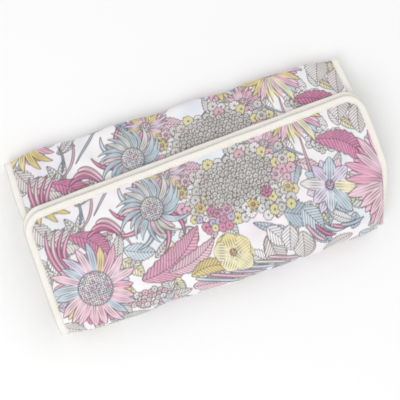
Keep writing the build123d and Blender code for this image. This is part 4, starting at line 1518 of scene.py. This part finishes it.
floral = floral_print()
# the binding is painted darker along the band where the tape turns over its edge, as painted shade
binding_twill = fabric(
    "cream_twill_binding", (0.90, 0.87, 0.80), (0.94, 0.915, 0.86), threads=1400.0,
    rough=0.8, sheen=0.3, bump=0.4, twill=True, edge=(0.0056, 0.0102))
lining_weave = fabric(
    "cream_woven_lining", (0.76, 0.73, 0.66), (0.81, 0.78, 0.72), threads=900.0,
    rough=0.85, sheen=0.2, bump=0.3)
gusset_cloth = fabric(
    "pouch_gusset_cloth", (0.74, 0.70, 0.63), (0.80, 0.77, 0.70), threads=1100.0,
    rough=0.8, sheen=0.2, bump=0.3)
thread = fabric(
    "stitching_thread", (0.87, 0.84, 0.75), (0.93, 0.90, 0.82), threads=5000.0,
    rough=0.6, sheen=0.3, bump=0.3, twill=True)
zip_weave = fabric(
    "zip_tape_weave", (0.73, 0.69, 0.60), (0.79, 0.75, 0.66), threads=1700.0,
    rough=0.85, sheen=0.2, bump=0.5, twill=True)
web_weave = fabric(
    "webbing_weave", (0.78, 0.74, 0.64), (0.84, 0.80, 0.71), threads=700.0,
    rough=0.8, sheen=0.3, bump=0.6, twill=True)
nap_cloth = fabric(
    "closure_tape_nap", (0.80, 0.77, 0.69), (0.86, 0.83, 0.76), threads=900.0,
    rough=0.7, sheen=0.4, bump=0.6)
film = clear_film()
nylon = coil_nylon()
zip_metal = metal("zip_nickel", (0.58, 0.57, 0.54), rough=0.24, scratch=0.2)
hook_metal = metal("hook_nickel", (0.56, 0.55, 0.54), rough=0.20, scratch=0.12)

for objects, material, slot in (
    (covers.values(), floral, "floral_fabric"),
    (linings.values(), lining_weave, "lining"),
    (bindings + [base_binding, main_binding], binding_twill, "binding"),
    (threads, thread, "binding"),
    ([base], lining_weave, "floral_fabric"),
    ([flap_gusset, main_gusset, flap_header, main_header], gusset_cloth, "lining"),
    ([flap_film, main_film], film, "clear_film"),
    ([hook_strip, hook_nap, loop_strip, loop_nap], nap_cloth, "closure_tape"),
    ([tab], web_weave, "webbing"),
    (zip_tapes, zip_weave, "zip_tape"),
    (zip_coils, nylon, "zip_coil"),
):
    for obj in objects:
        obj.data.materials.clear()
        obj.data.materials.append(material)


# ------------------------------------------------------------- the metal parts
def smooth_group():
    """A node group that shades its geometry smooth."""
    group = bpy.data.node_groups.new("shade_smooth", "GeometryNodeTree")
    for direction in ("INPUT", "OUTPUT"):
        group.interface.new_socket(
            "Geometry", in_out=direction, socket_type="NodeSocketGeometry")
    start, shade, end = (
        group.nodes.new(kind)
        for kind in ("NodeGroupInput", "GeometryNodeSetShadeSmooth", "NodeGroupOutput"))
    group.links.new(start.outputs[0], shade.inputs[0])
    group.links.new(shade.outputs[0], end.inputs[0])
    return group


# They keep their own meshes; modifiers round and smooth them.
smooth = smooth_group()
for name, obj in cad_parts.items():
    if obj.hide_render:
        continue
    on_hook = name in ("hanging_hook", "hook_rivet", "hook_base_plate")
    obj.data.materials.clear()
    obj.data.materials.append(hook_metal if on_hook else zip_metal)
    obj.modifiers.new("smooth_faces", "NODES").node_group = smooth
    assign(
        obj.modifiers.new("soft_edges", "BEVEL"),
        width=0.0009 if name == "hanging_hook" else 0.00035, segments=3,
        limit_method="ANGLE", angle_limit=math.radians(40))
    obj.modifiers.new("face_normals", "WEIGHTED_NORMAL").weight = 80


# --------------------------------------------------- floor, light and camera
def build_floor():
    bpy.ops.mesh.primitive_plane_add(size=6.0, location=(0, 0, -0.0012))
    floor = bpy.context.object
    floor.name = "studio_floor"
    material = Shader("pale_floor").finish(
        Base_Color=(0.93, 0.93, 0.93), Roughness=0.9, Specular_IOR_Level=0.1)
    floor.data.materials.append(material)


def build_world():
    world = bpy.data.worlds.new("studio")
    scene.world = world
    world.use_nodes = True
    background = world.node_tree.nodes["Background"]
    background.inputs["Color"].default_value = (1.0, 1.0, 1.0, 1.0)
    background.inputs["Strength"].default_value = 0.80


def area_light(name, location, size, energy):
    """A round area light aimed at the origin."""
    light = bpy.data.lights.new(name, "AREA")
    assign(light, shape="DISK", size=size, energy=energy)
    obj = bpy.data.objects.new(name, light)
    scene.collection.objects.link(obj)
    obj.location = location
    obj.rotation_euler = (-Vector(location)).to_track_quat("-Z", "Y").to_euler()


def build_camera(azimuth, elevation, roll, distance, target, lens_mm):
    """A camera looking at a target in millimetres; angles are in degrees."""
    azimuth, elevation, roll = (math.radians(a) for a in (azimuth, elevation, roll))
    back = Vector((
        math.sin(azimuth) * math.cos(elevation),
        -math.cos(azimuth) * math.cos(elevation),
        math.sin(elevation)))
    level = (-back).cross(Vector((0, 0, 1))).normalized()
    upright = level.cross(-back)
    right = math.cos(roll) * level + math.sin(roll) * upright
    up = -math.sin(roll) * level + math.cos(roll) * upright
    location = (Vector(target) + back * distance) * MM
    data = bpy.data.cameras.new("camera")
    assign(data, sensor_width=36.0, lens=lens_mm, clip_start=0.01)
    camera = bpy.data.objects.new("camera", data)
    scene.collection.objects.link(camera)
    matrix = Matrix.Identity(4)
    for k in range(3):
        matrix[k][0], matrix[k][1], matrix[k][2], matrix[k][3] = right[k], up[k], back[k], location[k]
    camera.matrix_world = matrix
    scene.camera = camera


build_floor()
build_world()
area_light("key", (-0.8, -0.7, 1.3), size=1.0, energy=8.5)
area_light("fill", (0.9, 0.6, 1.2), size=1.4, energy=2.0)
build_camera(
    azimuth=-61.9, elevation=81.9, roll=42.1, distance=629.2, target=(-7.1, -6.5, 15.0),
    lens_mm=67.446)
scene.view_settings.view_transform = "Standard"
